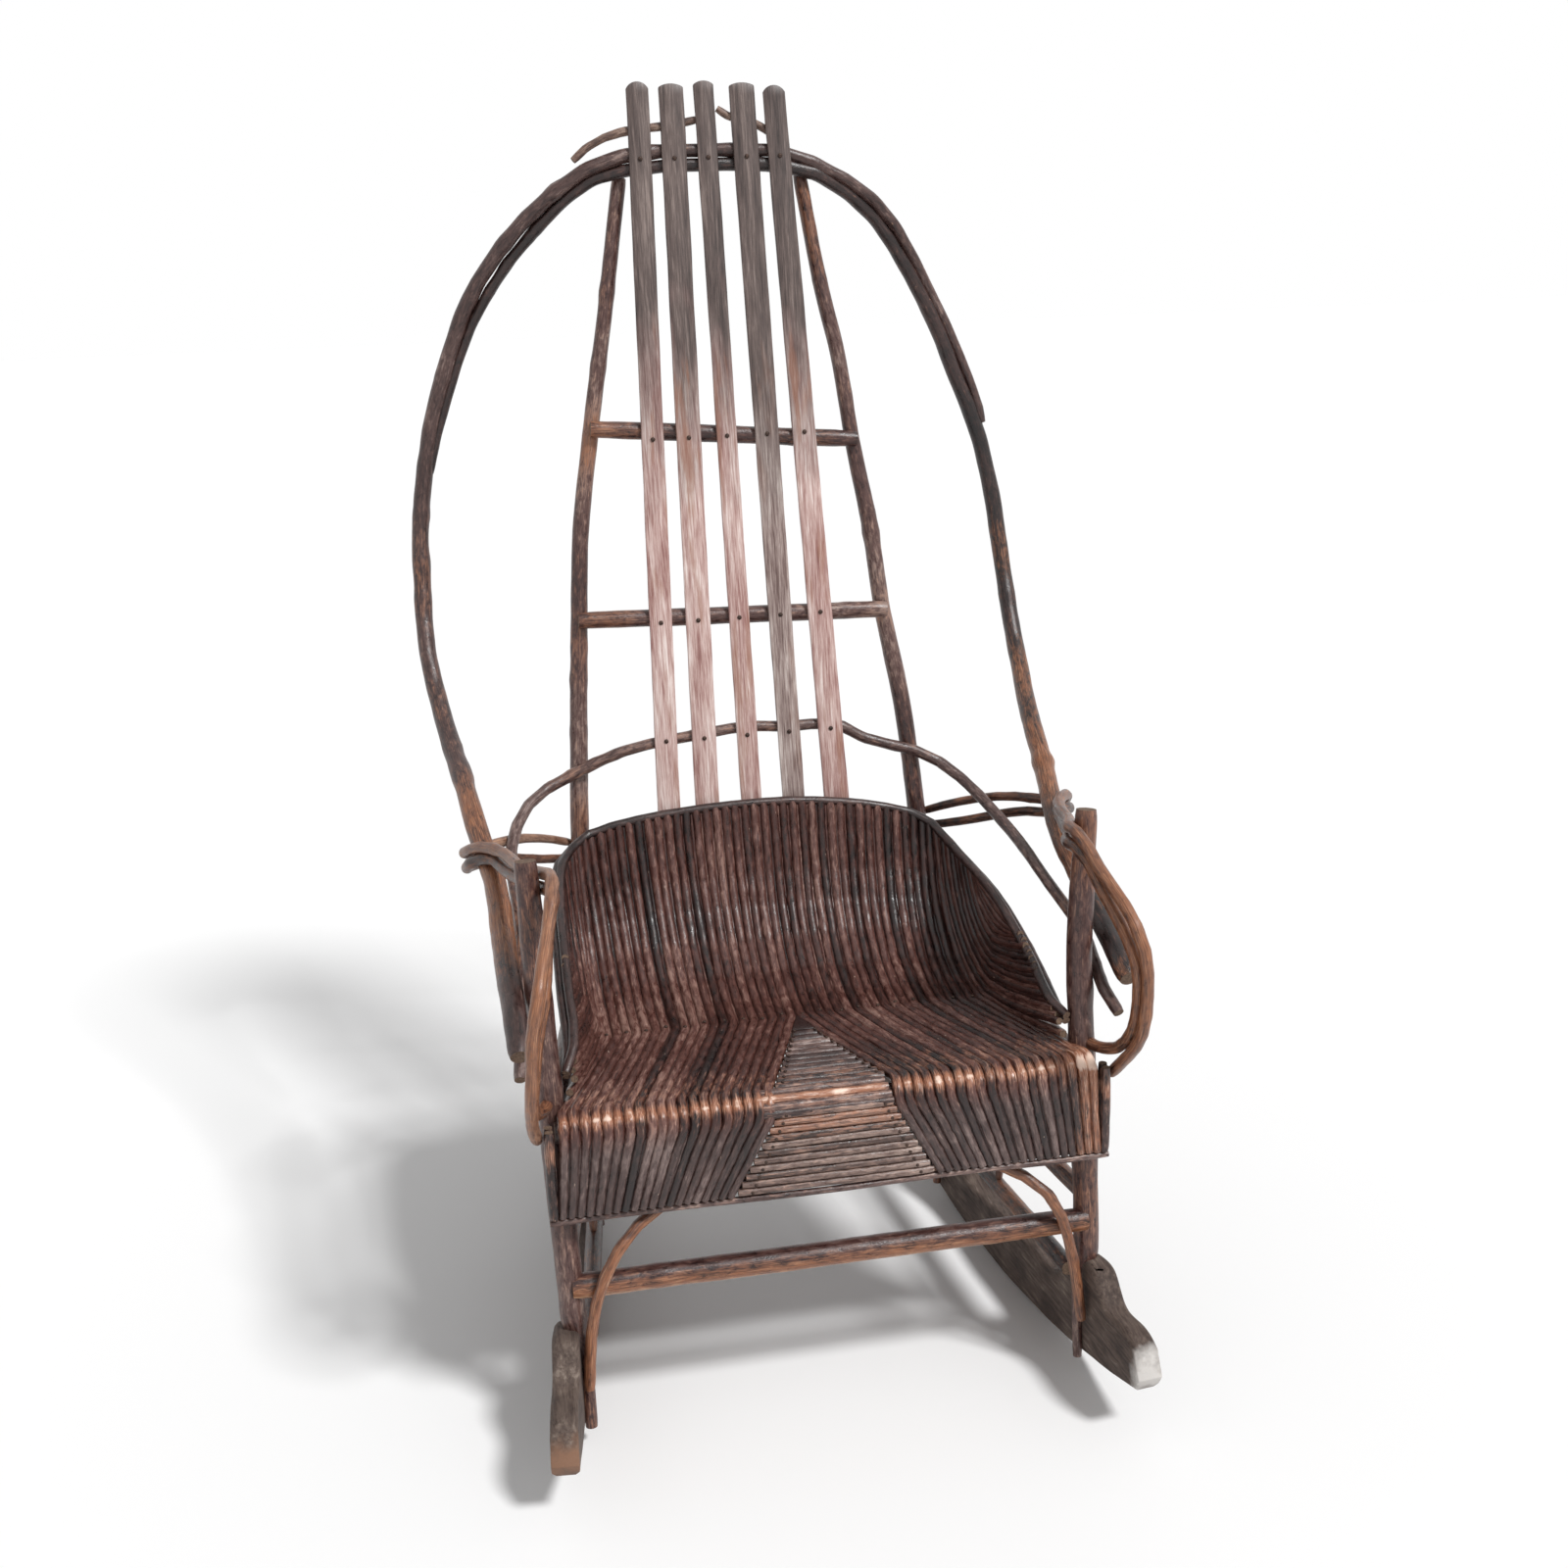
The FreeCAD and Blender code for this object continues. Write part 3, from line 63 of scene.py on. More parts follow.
def merged_copy(node):
    """A node's mesh with its loose triangles joined."""
    bm = bmesh.new()
    bm.from_mesh(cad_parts[node].data)
    bmesh.ops.remove_doubles(bm, verts=bm.verts, dist=0.001 * MM)
    bm.normal_update()
    return bm


def neighbours(corner):
    return [edge.other_vert(corner) for edge in corner.link_edges]


def reached_from(corner):
    """Every corner of the loose shell that a corner belongs to; the last is about the farthest."""
    seen = {corner: None}
    todo = [corner]
    for one in todo:
        for other in neighbours(one):
            if other not in seen:
                seen[other] = None
                todo.append(other)
    return todo


def shells(bm):
    left = dict.fromkeys(bm.verts)
    while left:
        shell = reached_from(next(iter(left)))
        for corner in shell:
            left.pop(corner)
        yield shell


def sawn_end(corner):
    """The flat end that a corner belongs to, its smallest flat patch: its middle, radius and facing."""
    ends = []
    for start in corner.link_faces:
        flat, todo = {start: None}, [start]
        while todo:
            for edge in todo.pop().edges:
                for face in edge.link_faces:
                    if face not in flat and face.normal.dot(start.normal) > 0.999:
                        flat[face] = None
                        todo.append(face)
        rim = [vert.co for vert in {vert: None for face in flat for vert in face.verts}]
        middle = sum(rim, Vector()) / len(rim)
        ends.append((max((co - middle).length for co in rim), len(ends), middle, start.normal.copy()))
    return min(ends)


def section(edges, middle, heading, reach):
    """Middle and radius of the stick where a plane near a point cuts it."""
    hits = []
    for a, b in edges:
        before, after = (a - middle).dot(heading), (b - middle).dot(heading)
        if (before < 0) != (after < 0):
            hit = a.lerp(b, before / (before - after))
            if (hit - middle).length < reach:
                hits.append(hit)
    if len(hits) < 3:
        return None
    least = Vector([min(hit[axis] for hit in hits) for axis in range(3)])
    most = Vector([max(hit[axis] for hit in hits) for axis in range(3)])
    centre = (least + most) / 2
    return centre, max((hit - centre).length for hit in hits)


def spines(node):
    """For each stick of a node, its middle points and radii from one end to the other."""
    bm = merged_copy(node)
    found = []
    for shell in shells(bm):
        joined = {edge: None for corner in shell for edge in corner.link_edges}
        edges = [(edge.verts[0].co, edge.verts[1].co) for edge in joined]
        girth, order, middle, facing = sawn_end(reached_from(shell[-1])[-1])
        heading = -facing
        stride = max(girth, SHORTEST_STRIDE)
        spine = [(middle, girth)]
        while True:
            cut = section(edges, middle + heading * stride, heading, girth * REACH)
            if cut is None:
                break
            heading = (heading + (cut[0] - middle).normalized() * TURNING).normalized()
            middle, girth = cut
            spine.append(cut)
        tail = sawn_end(min(shell, key=lambda vert: (vert.co - middle - heading * stride).length))[2]
        spine[-1] = (tail, girth)
        found.append(spine)
    bm.free()
    return found


def sliced_spine(node, cuts):
    """The same for a nearly straight stick, whose bores would upset its rows of corners."""
    low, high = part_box(node)
    along = max(range(3), key=lambda axis: high[axis] - low[axis])
    facing = Vector([float(axis == along) for axis in range(3)])
    spine = []
    for i in range(cuts):
        level = low.lerp(high, i / (cuts - 1))
        level += facing * (INSIDE if i == 0 else -INSIDE if i == cuts - 1 else 0)
        bm = merged_copy(node)
        everything = bm.verts[:] + bm.edges[:] + bm.faces[:]
        cut = bmesh.ops.bisect_plane(bm, geom=everything, plane_co=level, plane_no=facing)
        ring = [part.co.copy() for part in cut["geom_cut"] if isinstance(part, bmesh.types.BMVert)]
        bm.free()
        least = Vector([min(co[axis] for co in ring) for axis in range(3)])
        most = Vector([max(co[axis] for co in ring) for axis in range(3)])
        girth = min(most[axis] - least[axis] for axis in range(3) if axis != along) / 2
        spine.append(((least + most) / 2, girth))
    for end, near, far in ((0, 1, 2), (-1, -2, -3)):
        heading = spine[near][0] - spine[far][0]
        stretch = (spine[end][0][along] - spine[near][0][along]) / heading[along]
        spine[end] = (spine[near][0] + heading * stretch, spine[near][1])
    return spine


# Growing sticks with bark

FEWEST_STRETCHES = 6
SLOW_LUMPS, FAST_LUMPS, LUMPS_AROUND, BENDS = 14, 60, 45, 11   # to each metre of a stick


def walked_along(spine):
    """The distance from a spine's start to each of its points."""
    walked = [0.0]
    for (a, girth), (b, other) in zip(spine, spine[1:]):
        walked.append(walked[-1] + (b - a).length)
    return walked


def evenly_spaced(spine, walked, stretches):
    """A spine's points at even distances, each with its radius and its distance from the start."""
    route, k = [], 0
    for i in range(stretches + 1):
        distance = walked[-1] * i / stretches
        while k < len(walked) - 2 and walked[k + 1] < distance:
            k += 1
        share = (distance - walked[k]) / max(walked[k + 1] - walked[k], TINY)
        (a, girth), (b, other) = spine[k], spine[k + 1]
        route.append((a.lerp(b, share), girth * (1 - share) + other * share, distance))
    return route


def curve_through(spine, step):
    """Points a step apart on a smooth curve through a spine, with the radius at each."""
    points = [point for point, girth in spine]
    last = len(points) - 1
    slopes = []
    for i in range(last + 1):
        before, after = points[max(i - 1, 0)], points[min(i + 1, last)]
        slopes.append((after - before) / max((points[i] - before).length + (after - points[i]).length, MM))
    dense = []
    for i in range(last):
        a, b = points[i], points[i + 1]
        chord = (b - a).length
        pieces = max(int(chord / step * 2), 2)
        for k in range(pieces):
            t = k / pieces
            place = (a * (1 - t) ** 2 * (1 + 2 * t) + b * t * t * (3 - 2 * t)
                     + slopes[i] * chord * t * (1 - t) ** 2 - slopes[i + 1] * chord * t * t * (1 - t))
            dense.append((place, spine[i][1] * (1 - t) + spine[i + 1][1] * t))
    dense.append(spine[-1])
    walked = walked_along(dense)
    return evenly_spaced(dense, walked, max(int(walked[-1] / step), FEWEST_STRETCHES))


def frames_along(route):
    """For each point of a route, two directions across it that never twist."""
    across = None
    found = []
    for i, (point, girth, distance) in enumerate(route):
        heading = (route[min(i + 1, len(route) - 1)][0] - route[max(i - 1, 0)][0]).normalized()
        if across is None:
            across = heading.cross(Vector((0, 0, 1) if abs(heading.z) < 0.9 else (1, 0, 0)))
        across = (across - heading * across.dot(heading)).normalized()
        found.append((across.copy(), heading.cross(across)))
    return found


class Growth:
    """How a kind of stick grows: its bends, lumps and knots, as shares of its radius.

    Its sides and step set how fine the mesh is, and its knots are counted per metre."""

    def __init__(self, sides=14, step=6, wander=0.08, lump=0.06, knots=10, knot=0.22, round_end=0.5,
                 plump=1.0):
        self.sides = sides
        self.step = step * MM
        self.wander = wander
        self.lump = lump
        self.knots = knots
        self.knot = knot
        self.round_end = round_end
        self.plump = plump


def knots_on(length, growth, chance):
    """Each knot's distance along the stick and its angle, then its height and length in radii."""
    count = int(length * growth.knots + chance.random())
    return [(chance.uniform(0.02, 0.98) * length, chance.uniform(0, 2 * math.pi),
             growth.knot * chance.uniform(0.4, 1.2), chance.uniform(0.5, 1.3)) for i in range(count)]


def radius_at(girth, distance, angle, knots, growth, seed):
    """The bark's distance from the middle of the stick, with its lumps and knots."""
    slow = noise.noise(Vector((seed, distance * SLOW_LUMPS, 0)))
    fast = noise.noise(Vector((seed + 9, distance * FAST_LUMPS, 1)))
    around = noise.noise(Vector((math.cos(angle) + seed, math.sin(angle), distance * LUMPS_AROUND)))
    radius = girth * (1 + growth.lump * (0.8 * slow + 0.5 * fast + 0.7 * around))
    for place, turn, height, length in knots:
        gap = (distance - place) / (length * girth)
        if abs(gap) < 2.5:
            facing = 0.35 + 0.65 * math.exp(1.6 * (math.cos(angle - turn) - 1))
            radius += girth * height * facing * math.exp(-gap * gap)
    return radius


def add_stick(bm, spine, growth, chance, wear=None, flatten=1.0):
    """One stick in a mesh: a grid rolled into a tube along the spine, with its ends closed."""
    route = curve_through(spine, growth.step)
    length = route[-1][2]
    frames = frames_along(route)
    knots = knots_on(length, growth, chance)
    seed = chance.uniform(0, 500)
    tone = chance.random()
    grain_layer = bm.verts.layers.float_vector["grain"]
    tone_layer = bm.verts.layers.float["tone"]
    wear_layer = bm.verts.layers.float["wear"]
    rows = len(route) - 1
    made = bmesh.ops.create_grid(bm, x_segments=growth.sides, y_segments=rows, size=0.5)["verts"]
    ends = []
    for vert in made:
        i = round((vert.co.y + 0.5) * rows)
        angle = (vert.co.x + 0.5) * 2 * math.pi
        point, girth, distance = route[i]
        girth *= growth.plump
        across, up = frames[i]
        from_end = min(i, rows - i)
        if from_end == 0:
            girth *= 1 - 0.3 * growth.round_end
            ends.append(vert)
        elif from_end == 1:
            girth *= 1 - 0.06 * growth.round_end
        calm = min(min(distance, length - distance) / (20 * MM), 1.0)
        bend = noise.noise_vector(Vector((seed, distance * BENDS, 4))) * growth.wander * girth * calm
        radius = radius_at(girth, distance, angle, knots, growth, seed)
        out = across * math.cos(angle) + up * (math.sin(angle) * flatten)
        vert.co = point + bend + out * radius
        vert[grain_layer] = Vector((math.cos(angle) * girth, math.sin(angle) * girth, distance)) + \
            Vector((seed * 0.01, seed * 0.02, seed * 0.05))
        vert[tone_layer] = tone
        vert[wear_layer] = wear(point, out, distance / length) if wear else 0.0
    bmesh.ops.remove_doubles(bm, verts=made, dist=0.01 * MM)
    made = [vert for vert in made if vert.is_valid]
    rims = {edge: None for vert in ends if vert.is_valid
            for edge in vert.link_edges if edge.is_boundary}
    for face in {face: None for vert in made for face in vert.link_faces}:
        face.smooth = True
    caps = bmesh.ops.holes_fill(bm, edges=list(rims), sides=0)["faces"]
    for cap in caps:
        cap.material_index = 1
        for edge in cap.edges:
            edge.smooth = False
    return route


def new_sticks():
    bm = bmesh.new()
    bm.verts.layers.float_vector.new("grain")
    bm.verts.layers.float.new("tone")
    bm.verts.layers.float.new("wear")
    return bm


def finish_piece(bm, name, materials, nodes):
    """The mesh becomes a piece that rides on the chair and stands for its CAD nodes, if it has any."""
    bmesh.ops.recalc_face_normals(bm, faces=bm.faces)
    mesh = bpy.data.meshes.new(name)
    bm.to_mesh(mesh)
    bm.free()
    for material in materials:
        mesh.materials.append(material)
    piece = bpy.data.objects.new(name, mesh)
    bpy.context.scene.collection.objects.link(piece)
    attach(piece, "root")
    if nodes:
        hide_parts(*nodes)
    return piece


def dress(node, materials, growth, wear=None, flatten=1.0, cuts=0, settle=None):
    """Replaces every stick of a CAD node with one that has bark."""
    chance = random.Random(node)
    bm = new_sticks()
    for stick in ([sliced_spine(node, cuts)] if cuts else spines(node)):
        if settle:
            stick = settle(stick)
        add_stick(bm, stick, growth, chance, wear, flatten)
    finish_piece(bm, node + "_bark", materials, [node])


# Materials

class Shader:
    """A small hand for wiring a material's nodes."""

    def __init__(self, name):
        self.material = bpy.data.materials.new(name)
        self.material.use_nodes = True
        self.tree = self.material.node_tree
        self.surface = self.tree.nodes["Principled BSDF"]

    def add(self, kind, **settings):
        node = self.tree.nodes.new(kind)
        for key, value in settings.items():
            setattr(node, key, value)
        return node

    def join(self, source, target):
        self.tree.links.new(source, target)

    def math(self, operation, first, second):
        node = self.add("ShaderNodeMath", operation=operation)
        for socket, value in zip(node.inputs, (first, second)):
            if isinstance(value, (int, float)):
                socket.default_value = value
            else:
                self.join(value, socket)
        return node.outputs[0]

    def attribute(self, name, output):
        return self.add("ShaderNodeAttribute", attribute_name=name).outputs[output]

    def place(self):
        """Where a point lies on the chair."""
        return self.add("ShaderNodeTexCoord").outputs["Object"]

    def along(self, place, axis):
        node = self.add("ShaderNodeSeparateXYZ")
        self.join(place, node.inputs[0])
        return node.outputs[axis]

    def weighed(self, *parts):
        """The sum of some values, each times its share."""
        total = None
        for value, share in parts:
            part = self.math("MULTIPLY", value, share)
            total = part if total is None else self.math("ADD", total, part)
        return total

    def stretched(self, vector, scale):
        node = self.add("ShaderNodeMapping")
        node.inputs["Scale"].default_value = scale
        self.join(vector, node.inputs["Vector"])
        return node.outputs[0]

    def noise(self, vector, scale, detail=3.0, rough=0.55, warp=0.0):
        node = self.add("ShaderNodeTexNoise")
        node.inputs["Scale"].default_value = 1.0
        node.inputs["Detail"].default_value = detail
        node.inputs["Roughness"].default_value = rough
        node.inputs["Distortion"].default_value = warp
        self.join(self.stretched(vector, scale), node.inputs["Vector"])
        return node.outputs["Fac"]

    def spread(self, value, low, high, to_low=0.0, to_high=1.0):
        node = self.add("ShaderNodeMapRange")
        for name, number in (("From Min", low), ("From Max", high), ("To Min", to_low), ("To Max", to_high)):
            node.inputs[name].default_value = number
        self.join(value, node.inputs["Value"])
        return node.outputs[0]

    def ramp(self, value, stops):
        node = self.add("ShaderNodeValToRGB")
        marks = node.color_ramp.elements
        while len(marks) < len(stops):
            marks.new(0.5)
        for mark, (place, colour) in zip(marks, stops):
            mark.position = place
            mark.color = (*colour, 1.0)
        self.join(value, node.inputs["Fac"])
        return node.outputs["Color"]

    def mix(self, share, first, second, blend="MIX"):
        node = self.add("ShaderNodeMix", data_type="RGBA", blend_type=blend)
        for name, value in (("Factor", share), ("A", first), ("B", second)):
            sockets = [s for s in node.inputs if s.name == name and s.enabled]
            if isinstance(value, (int, float)):
                sockets[0].default_value = value
            elif isinstance(value, tuple):
                sockets[0].default_value = (*value, 1.0)
            else:
                self.join(value, sockets[0])
        return next(s for s in node.outputs if s.enabled)

    def bump(self, height, distance, strength=1.0, below=None):
        node = self.add("ShaderNodeBump")
        node.inputs["Strength"].default_value = strength
        node.inputs["Distance"].default_value = distance
        self.join(height, node.inputs["Height"])
        if below:
            self.join(below, node.inputs["Normal"])
        return node.outputs["Normal"]

    def material_with(self, colour, roughness, relief=None):
        """The material, with its colour, roughness and relief joined to its surface."""
        for name, value in (("Base Color", colour), ("Roughness", roughness), ("Normal", relief)):
            if isinstance(value, float):
                self.surface.inputs[name].default_value = value
            elif value is not None:
                self.join(value, self.surface.inputs[name])
        return self.material


def evenly(colours):
    """Colours as the stops of a ramp, at even steps."""
    return [(i / (len(colours) - 1), colour) for i, colour in enumerate(colours)]


def bark(name, colours, worn, gloss=0.29, grey_below=None):
    """Weathered bark: streaks along the stick, mottles, warts, worn places that show the wood, and painted
    glints where the wear is strongest.
    """
    shader = Shader(name)
    grain = shader.attribute("grain", "Vector")
    place = shader.place()
    fibres = shader.noise(grain, (1300, 1300, 40), 4, 0.6)
    mottles = shader.noise(grain, (230, 230, 80), 4, 0.62, 0.6)
    drift = shader.noise(place, (9, 9, 9), 2)
    warts = shader.noise(grain, (700, 700, 420), 2)
    tone = shader.attribute("tone", "Fac")
    value = shader.weighed((fibres, 0.40), (mottles, 0.66), (drift, 0.46), (tone, 0.26))
    colour = shader.ramp(shader.spread(value, 0.64, 1.14), evenly(colours))
    if grey_below:
        low = shader.spread(shader.along(place, "Z"), grey_below, grey_below - 25 * MM, 0.0, 0.75)
        greyed = shader.ramp(shader.spread(value, 0.56, 1.12), [
            (0.0, (0.005, 0.003, 0.003)), (0.35, (0.024, 0.015, 0.014)), (0.7, (0.070, 0.047, 0.043)),
            (1.0, (0.20, 0.155, 0.145))])
        colour = shader.mix(low, colour, greyed)
    dots = shader.spread(warts, 0.36, 0.28)
    colour = shader.mix(shader.math("MULTIPLY", dots, 0.6), colour, colours[0])
    rub = shader.attribute("wear", "Fac")
    bare = shader.spread(shader.weighed((rub, 1.25), (mottles, 0.9), (fibres, 0.7)), 1.02, 1.42)
    wood = shader.ramp(fibres, [(0.3, worn[0]), (0.55, worn[1]), (0.75, worn[2])])
    colour = shader.mix(bare, colour, wood)
    # Painted highlight: where the wear mask peaks, the colour turns to the palest worn colour as white
    # glints.
    painted_glint = shader.spread(shader.weighed((rub, 1.0), (mottles, 0.5)), 0.80, 0.92)
    colour = shader.mix(painted_glint, colour, worn[2])
    scratches = shader.spread(shader.noise(grain, (420, 420, 120), 2, 0.5, 0.3), 0.74, 0.79)
    colour = shader.mix(shader.math("MULTIPLY", scratches, 0.5), colour, worn[2])
    roughness = shader.spread(mottles, 0.3, 0.75, gloss - 0.06, gloss + 0.22)
    relief = shader.bump(fibres, 0.35 * MM, 0.4)
    relief = shader.bump(mottles, 0.9 * MM, 0.45, relief)
    relief = shader.bump(warts, 0.35 * MM, 0.6, relief)
    return shader.material_with(colour, roughness, relief)


def cut_end():
    """End grain of a sawn stick, dark and mottled."""
    shader = Shader("cut_end")
    spots = shader.noise(shader.place(), (500, 500, 500), 4)
    colour = shader.ramp(spots, [(0.3, (0.05, 0.032, 0.022)), (0.6, (0.16, 0.10, 0.065))])
    return shader.material_with(colour, 0.85, shader.bump(spots, 0.4 * MM))


def slat_wood(name, lower_colours_with_sheen, high_colours, fade_low, fade_high, stained):
    """Split slats: long grain, dark and grey at the top, rosy lower down with a painted whitish sheen, with
    orange stains.
    """
    shader = Shader(name)
    place = shader.place()
    grain = shader.noise(place, (620, 120, 11), 6, 0.68, 0.3)
    streak = shader.noise(place, (120, 40, 3.2), 4, 0.6, 0.5)
    blotch = shader.noise(place, (24, 12, 7), 4)
    height = shader.along(place, "Z")
    # Painted sheen: below the fade the slat takes the lower colours, whose pale stops paint a whitish sheen;
    # above it, the dark grey top.
    top = shader.spread(shader.weighed((height, 1.0), (blotch, 0.35)), fade_low, fade_high)
    value = shader.spread(shader.weighed((grain, 0.55), (streak, 0.35), (blotch, 0.25)), 0.38, 0.72)
    low, high = [shader.ramp(value, evenly(colours)) for colours in (lower_colours_with_sheen, high_colours)]
    stain = shader.spread(shader.noise(place, (60, 30, 5), 4, 0.6), 0.56, 0.66, 0.0, stained)
    below = shader.spread(height, STAIN_ENDS, STAIN_FULL)
    colour = shader.mix(shader.math("MULTIPLY", stain, below), shader.mix(top, low, high), STAIN)
    relief = shader.bump(blotch, 1.0 * MM, 0.3, shader.bump(grain, 0.5 * MM, 0.5))
    return shader.material_with(colour, shader.spread(streak, 0.3, 0.7, 0.30, 0.52), relief)


def rocker_wood():
    """Grey plank, rough from the saw, with paler front tips, the right one whitish."""
    shader = Shader("rocker_wood")
    place = shader.place()
    grain = shader.noise(place, (260, 12, 260), 5, 0.65, 0.4)
    dirt = shader.noise(place, (30, 22, 30), 4, 0.6)
    value = shader.weighed((grain, 0.6), (dirt, 0.5))
    colour = shader.ramp(shader.spread(value, 0.36, 0.74), [
        (0.0, (0.016, 0.010, 0.008)), (0.35, (0.052, 0.033, 0.026)), (0.7, (0.115, 0.082, 0.066)),
        (1.0, (0.25, 0.20, 0.165))])
    front_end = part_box("rocker_left")[0].y
    tip = shader.weighed((shader.along(place, "Y"), 1.0), (dirt, 0.04))
    bare = shader.spread(tip, front_end + 36 * MM, front_end + 24 * MM)
    right = shader.spread(shader.along(place, "X"), -50 * MM, 50 * MM)
    sawn = shader.mix(right, (0.24, 0.125, 0.075), (0.66, 0.63, 0.60))
    colour = shader.mix(shader.math("MULTIPLY", bare, 0.85), colour, sawn)
    relief = shader.bump(dirt, 1.6 * MM, 0.5, shader.bump(grain, 0.9 * MM, 0.6))
    return shader.material_with(colour, 0.8, relief)


def rusty_iron():
    shader = Shader("nail_iron")
    rust = shader.noise(shader.place(), (900, 900, 900), 3)
    colour = shader.ramp(rust, [(0.35, (0.018, 0.014, 0.013)), (0.65, (0.09, 0.05, 0.035))])
    shader.surface.inputs["Metallic"].default_value = 0.5
    return shader.material_with(colour, 0.6)


APRON_STARTS = 0.345   # the height below which the seat's twigs turn grey
STAIN_ENDS, STAIN_FULL = 1.08, 0.98   # heights of the slats' orange stain
STAIN = (0.27, 0.105, 0.050)
# The third colour of each is the palest worn wood and also the colour of the painted glints.
WORN_ORANGE_AND_GLINT = ((0.11, 0.036, 0.014), (0.28, 0.108, 0.048), (0.52, 0.29, 0.17))
WORN_TAN_AND_GLINT = ((0.17, 0.050, 0.024), (0.38, 0.160, 0.086), (0.84, 0.62, 0.50))
SEAT_BARK = bark("seat_bark", ((0.004, 0.002, 0.002), (0.017, 0.006, 0.005), (0.058, 0.019, 0.014),
                               (0.112, 0.045, 0.035), (0.27, 0.155, 0.125)), WORN_TAN_AND_GLINT,
                 grey_below=APRON_STARTS)
APRON_BARK = bark("apron_bark", ((0.005, 0.003, 0.003), (0.022, 0.010, 0.009), (0.066, 0.035, 0.030),
                                 (0.140, 0.086, 0.075), (0.34, 0.25, 0.22)), WORN_TAN_AND_GLINT)
WEDGE_BARK = bark("wedge_bark", ((0.014, 0.008, 0.006), (0.060, 0.033, 0.026), (0.145, 0.090, 0.074),
                                 (0.27, 0.19, 0.16), (0.46, 0.37, 0.32)), WORN_TAN_AND_GLINT)
POLE_BARK = bark("pole_bark", ((0.006, 0.003, 0.003), (0.018, 0.008, 0.007), (0.045, 0.021, 0.018),
                               (0.090, 0.049, 0.042), (0.24, 0.17, 0.15)), WORN_ORANGE_AND_GLINT)
POST_BARK = bark("post_bark", ((0.006, 0.003, 0.003), (0.022, 0.008, 0.007), (0.058, 0.023, 0.019),
                               (0.115, 0.061, 0.051), (0.30, 0.22, 0.19)), WORN_ORANGE_AND_GLINT)
ARM_BARK = bark("arm_bark", ((0.014, 0.006, 0.004), (0.050, 0.020, 0.013), (0.120, 0.050, 0.031),
                             (0.20, 0.105, 0.068), (0.36, 0.24, 0.18)), WORN_ORANGE_AND_GLINT, 0.32)
PEELED = bark("peeled_twig", ((0.026, 0.013, 0.010), (0.095, 0.050, 0.036), (0.23, 0.145, 0.108),
                              (0.44, 0.33, 0.26), (0.74, 0.64, 0.54)), WORN_TAN_AND_GLINT, 0.45)
CUT_END = cut_end()
ROCKER_WOOD = rocker_wood()
NAIL_IRON = rusty_iron()
SLAT_TOP = ((0.012, 0.008, 0.007), (0.044, 0.029, 0.026), (0.105, 0.074, 0.066), (0.24, 0.185, 0.165))
# The lower slat colours: reddish wood, with a painted whitish sheen in their pale stops.
SLAT_ROSY_WITH_SHEEN = ((0.10, 0.034, 0.028), (0.30, 0.150, 0.132), (0.56, 0.395, 0.36), (0.84, 0.74, 0.70))
SLAT_GREY_WITH_SHEEN = ((0.040, 0.020, 0.017), (0.145, 0.090, 0.080), (0.36, 0.28, 0.255), (0.68, 0.60, 0.56))
SLAT_RED = slat_wood("slat_wood_rosy", SLAT_ROSY_WITH_SHEEN, SLAT_TOP, fade_low=1.02, fade_high=1.22, stained=0.5)
SLAT_DARK = slat_wood("slat_wood_grey", SLAT_GREY_WITH_SHEEN, SLAT_TOP, fade_low=0.98, fade_high=1.18, stained=0.15)


# Where the bark is rubbed away, and where highlights are painted on

front_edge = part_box("front_seat_rail")[0]
seat_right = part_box("seat_twigs_right")[1].x
corner_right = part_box("front_seat_rail")[1].x
loop_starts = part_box("arm_rod_upper_left")[0].y + 140 * MM
PATCHES_END, PATCHES_FADE = 0.95, 0.35   # the height where few patches are left, and the fade below it


def hump(value, middle, width):
    """One at the middle, and less to both sides of it."""
    return math.exp(-((value - middle) / width) ** 2)


def smooth_step(share):
    share = min(max(share, 0), 1)
    return share * share * (3 - 2 * share)


def seat_wear_and_highlight(point, out, share):
    """The turn over the front rail is rubbed tan, and the lap, the right side and its corner a little; the
    side of the turn that faces up and to the front is paler still, a painted highlight.
    """
    behind, above = point.y - front_edge.y, point.z - front_edge.z
    # Painted highlight: the side facing up and to the front, towards the lamp, takes most of the turn's pale
    # colour.
    facing = max(out.z * 0.7 - out.y * 0.7, 0)
    patch = 0.65 + 0.7 * noise.noise(point * 40)
    turn = 0.70 * hump(behind, 1 * MM, 5 * MM) * hump(above, 23 * MM, 5 * MM)
    lap = 0.22 * hump(behind, 25 * MM, 40 * MM) * hump(above, 20 * MM, 25 * MM)
    right_side = 0.10 * hump(point.x, seat_right, 45 * MM)
    far_right = smooth_step((point.x - corner_right + 30 * MM) / (14 * MM))
    corner = 0.26 * far_right * smooth_step((30 * MM - behind) / (20 * MM))
    return turn * patch * (0.15 + 0.85 * facing) + lap + right_side + corner


def apron_wear(point, out, share):
    return 0.12 + 0.25 * hump(point.z, front_edge.z, 12 * MM)


def arm_wear(point, out, share):
    """Hands have rubbed the loops and the tops of the arms."""
    front = min(max((loop_starts - point.y) / (120 * MM), 0), 1)
    return 0.16 + 0.22 * front + 0.10 * max(out.z, 0)


def pole_wear(point, out, share):
    """Orange patches on the poles, fewer towards the top."""
    patch = noise.noise(point * 9) * 0.5 + 0.25
    return max(patch, 0) * min(max((PATCHES_END - point.z) / PATCHES_FADE, 0.15), 1)


def bow_wear(point, out, share):
    return 0.5 * pole_wear(point, out, share)


def stretcher_wear(point, out, share):
    return 0.62 * max(-out.z * 0.5 + 0.6, 0) + 0.2 * max(noise.noise(point * 14), 0)


def post_wear(point, out, share):
    return 0.12 + 0.35 * max(noise.noise(point * 10), 0)


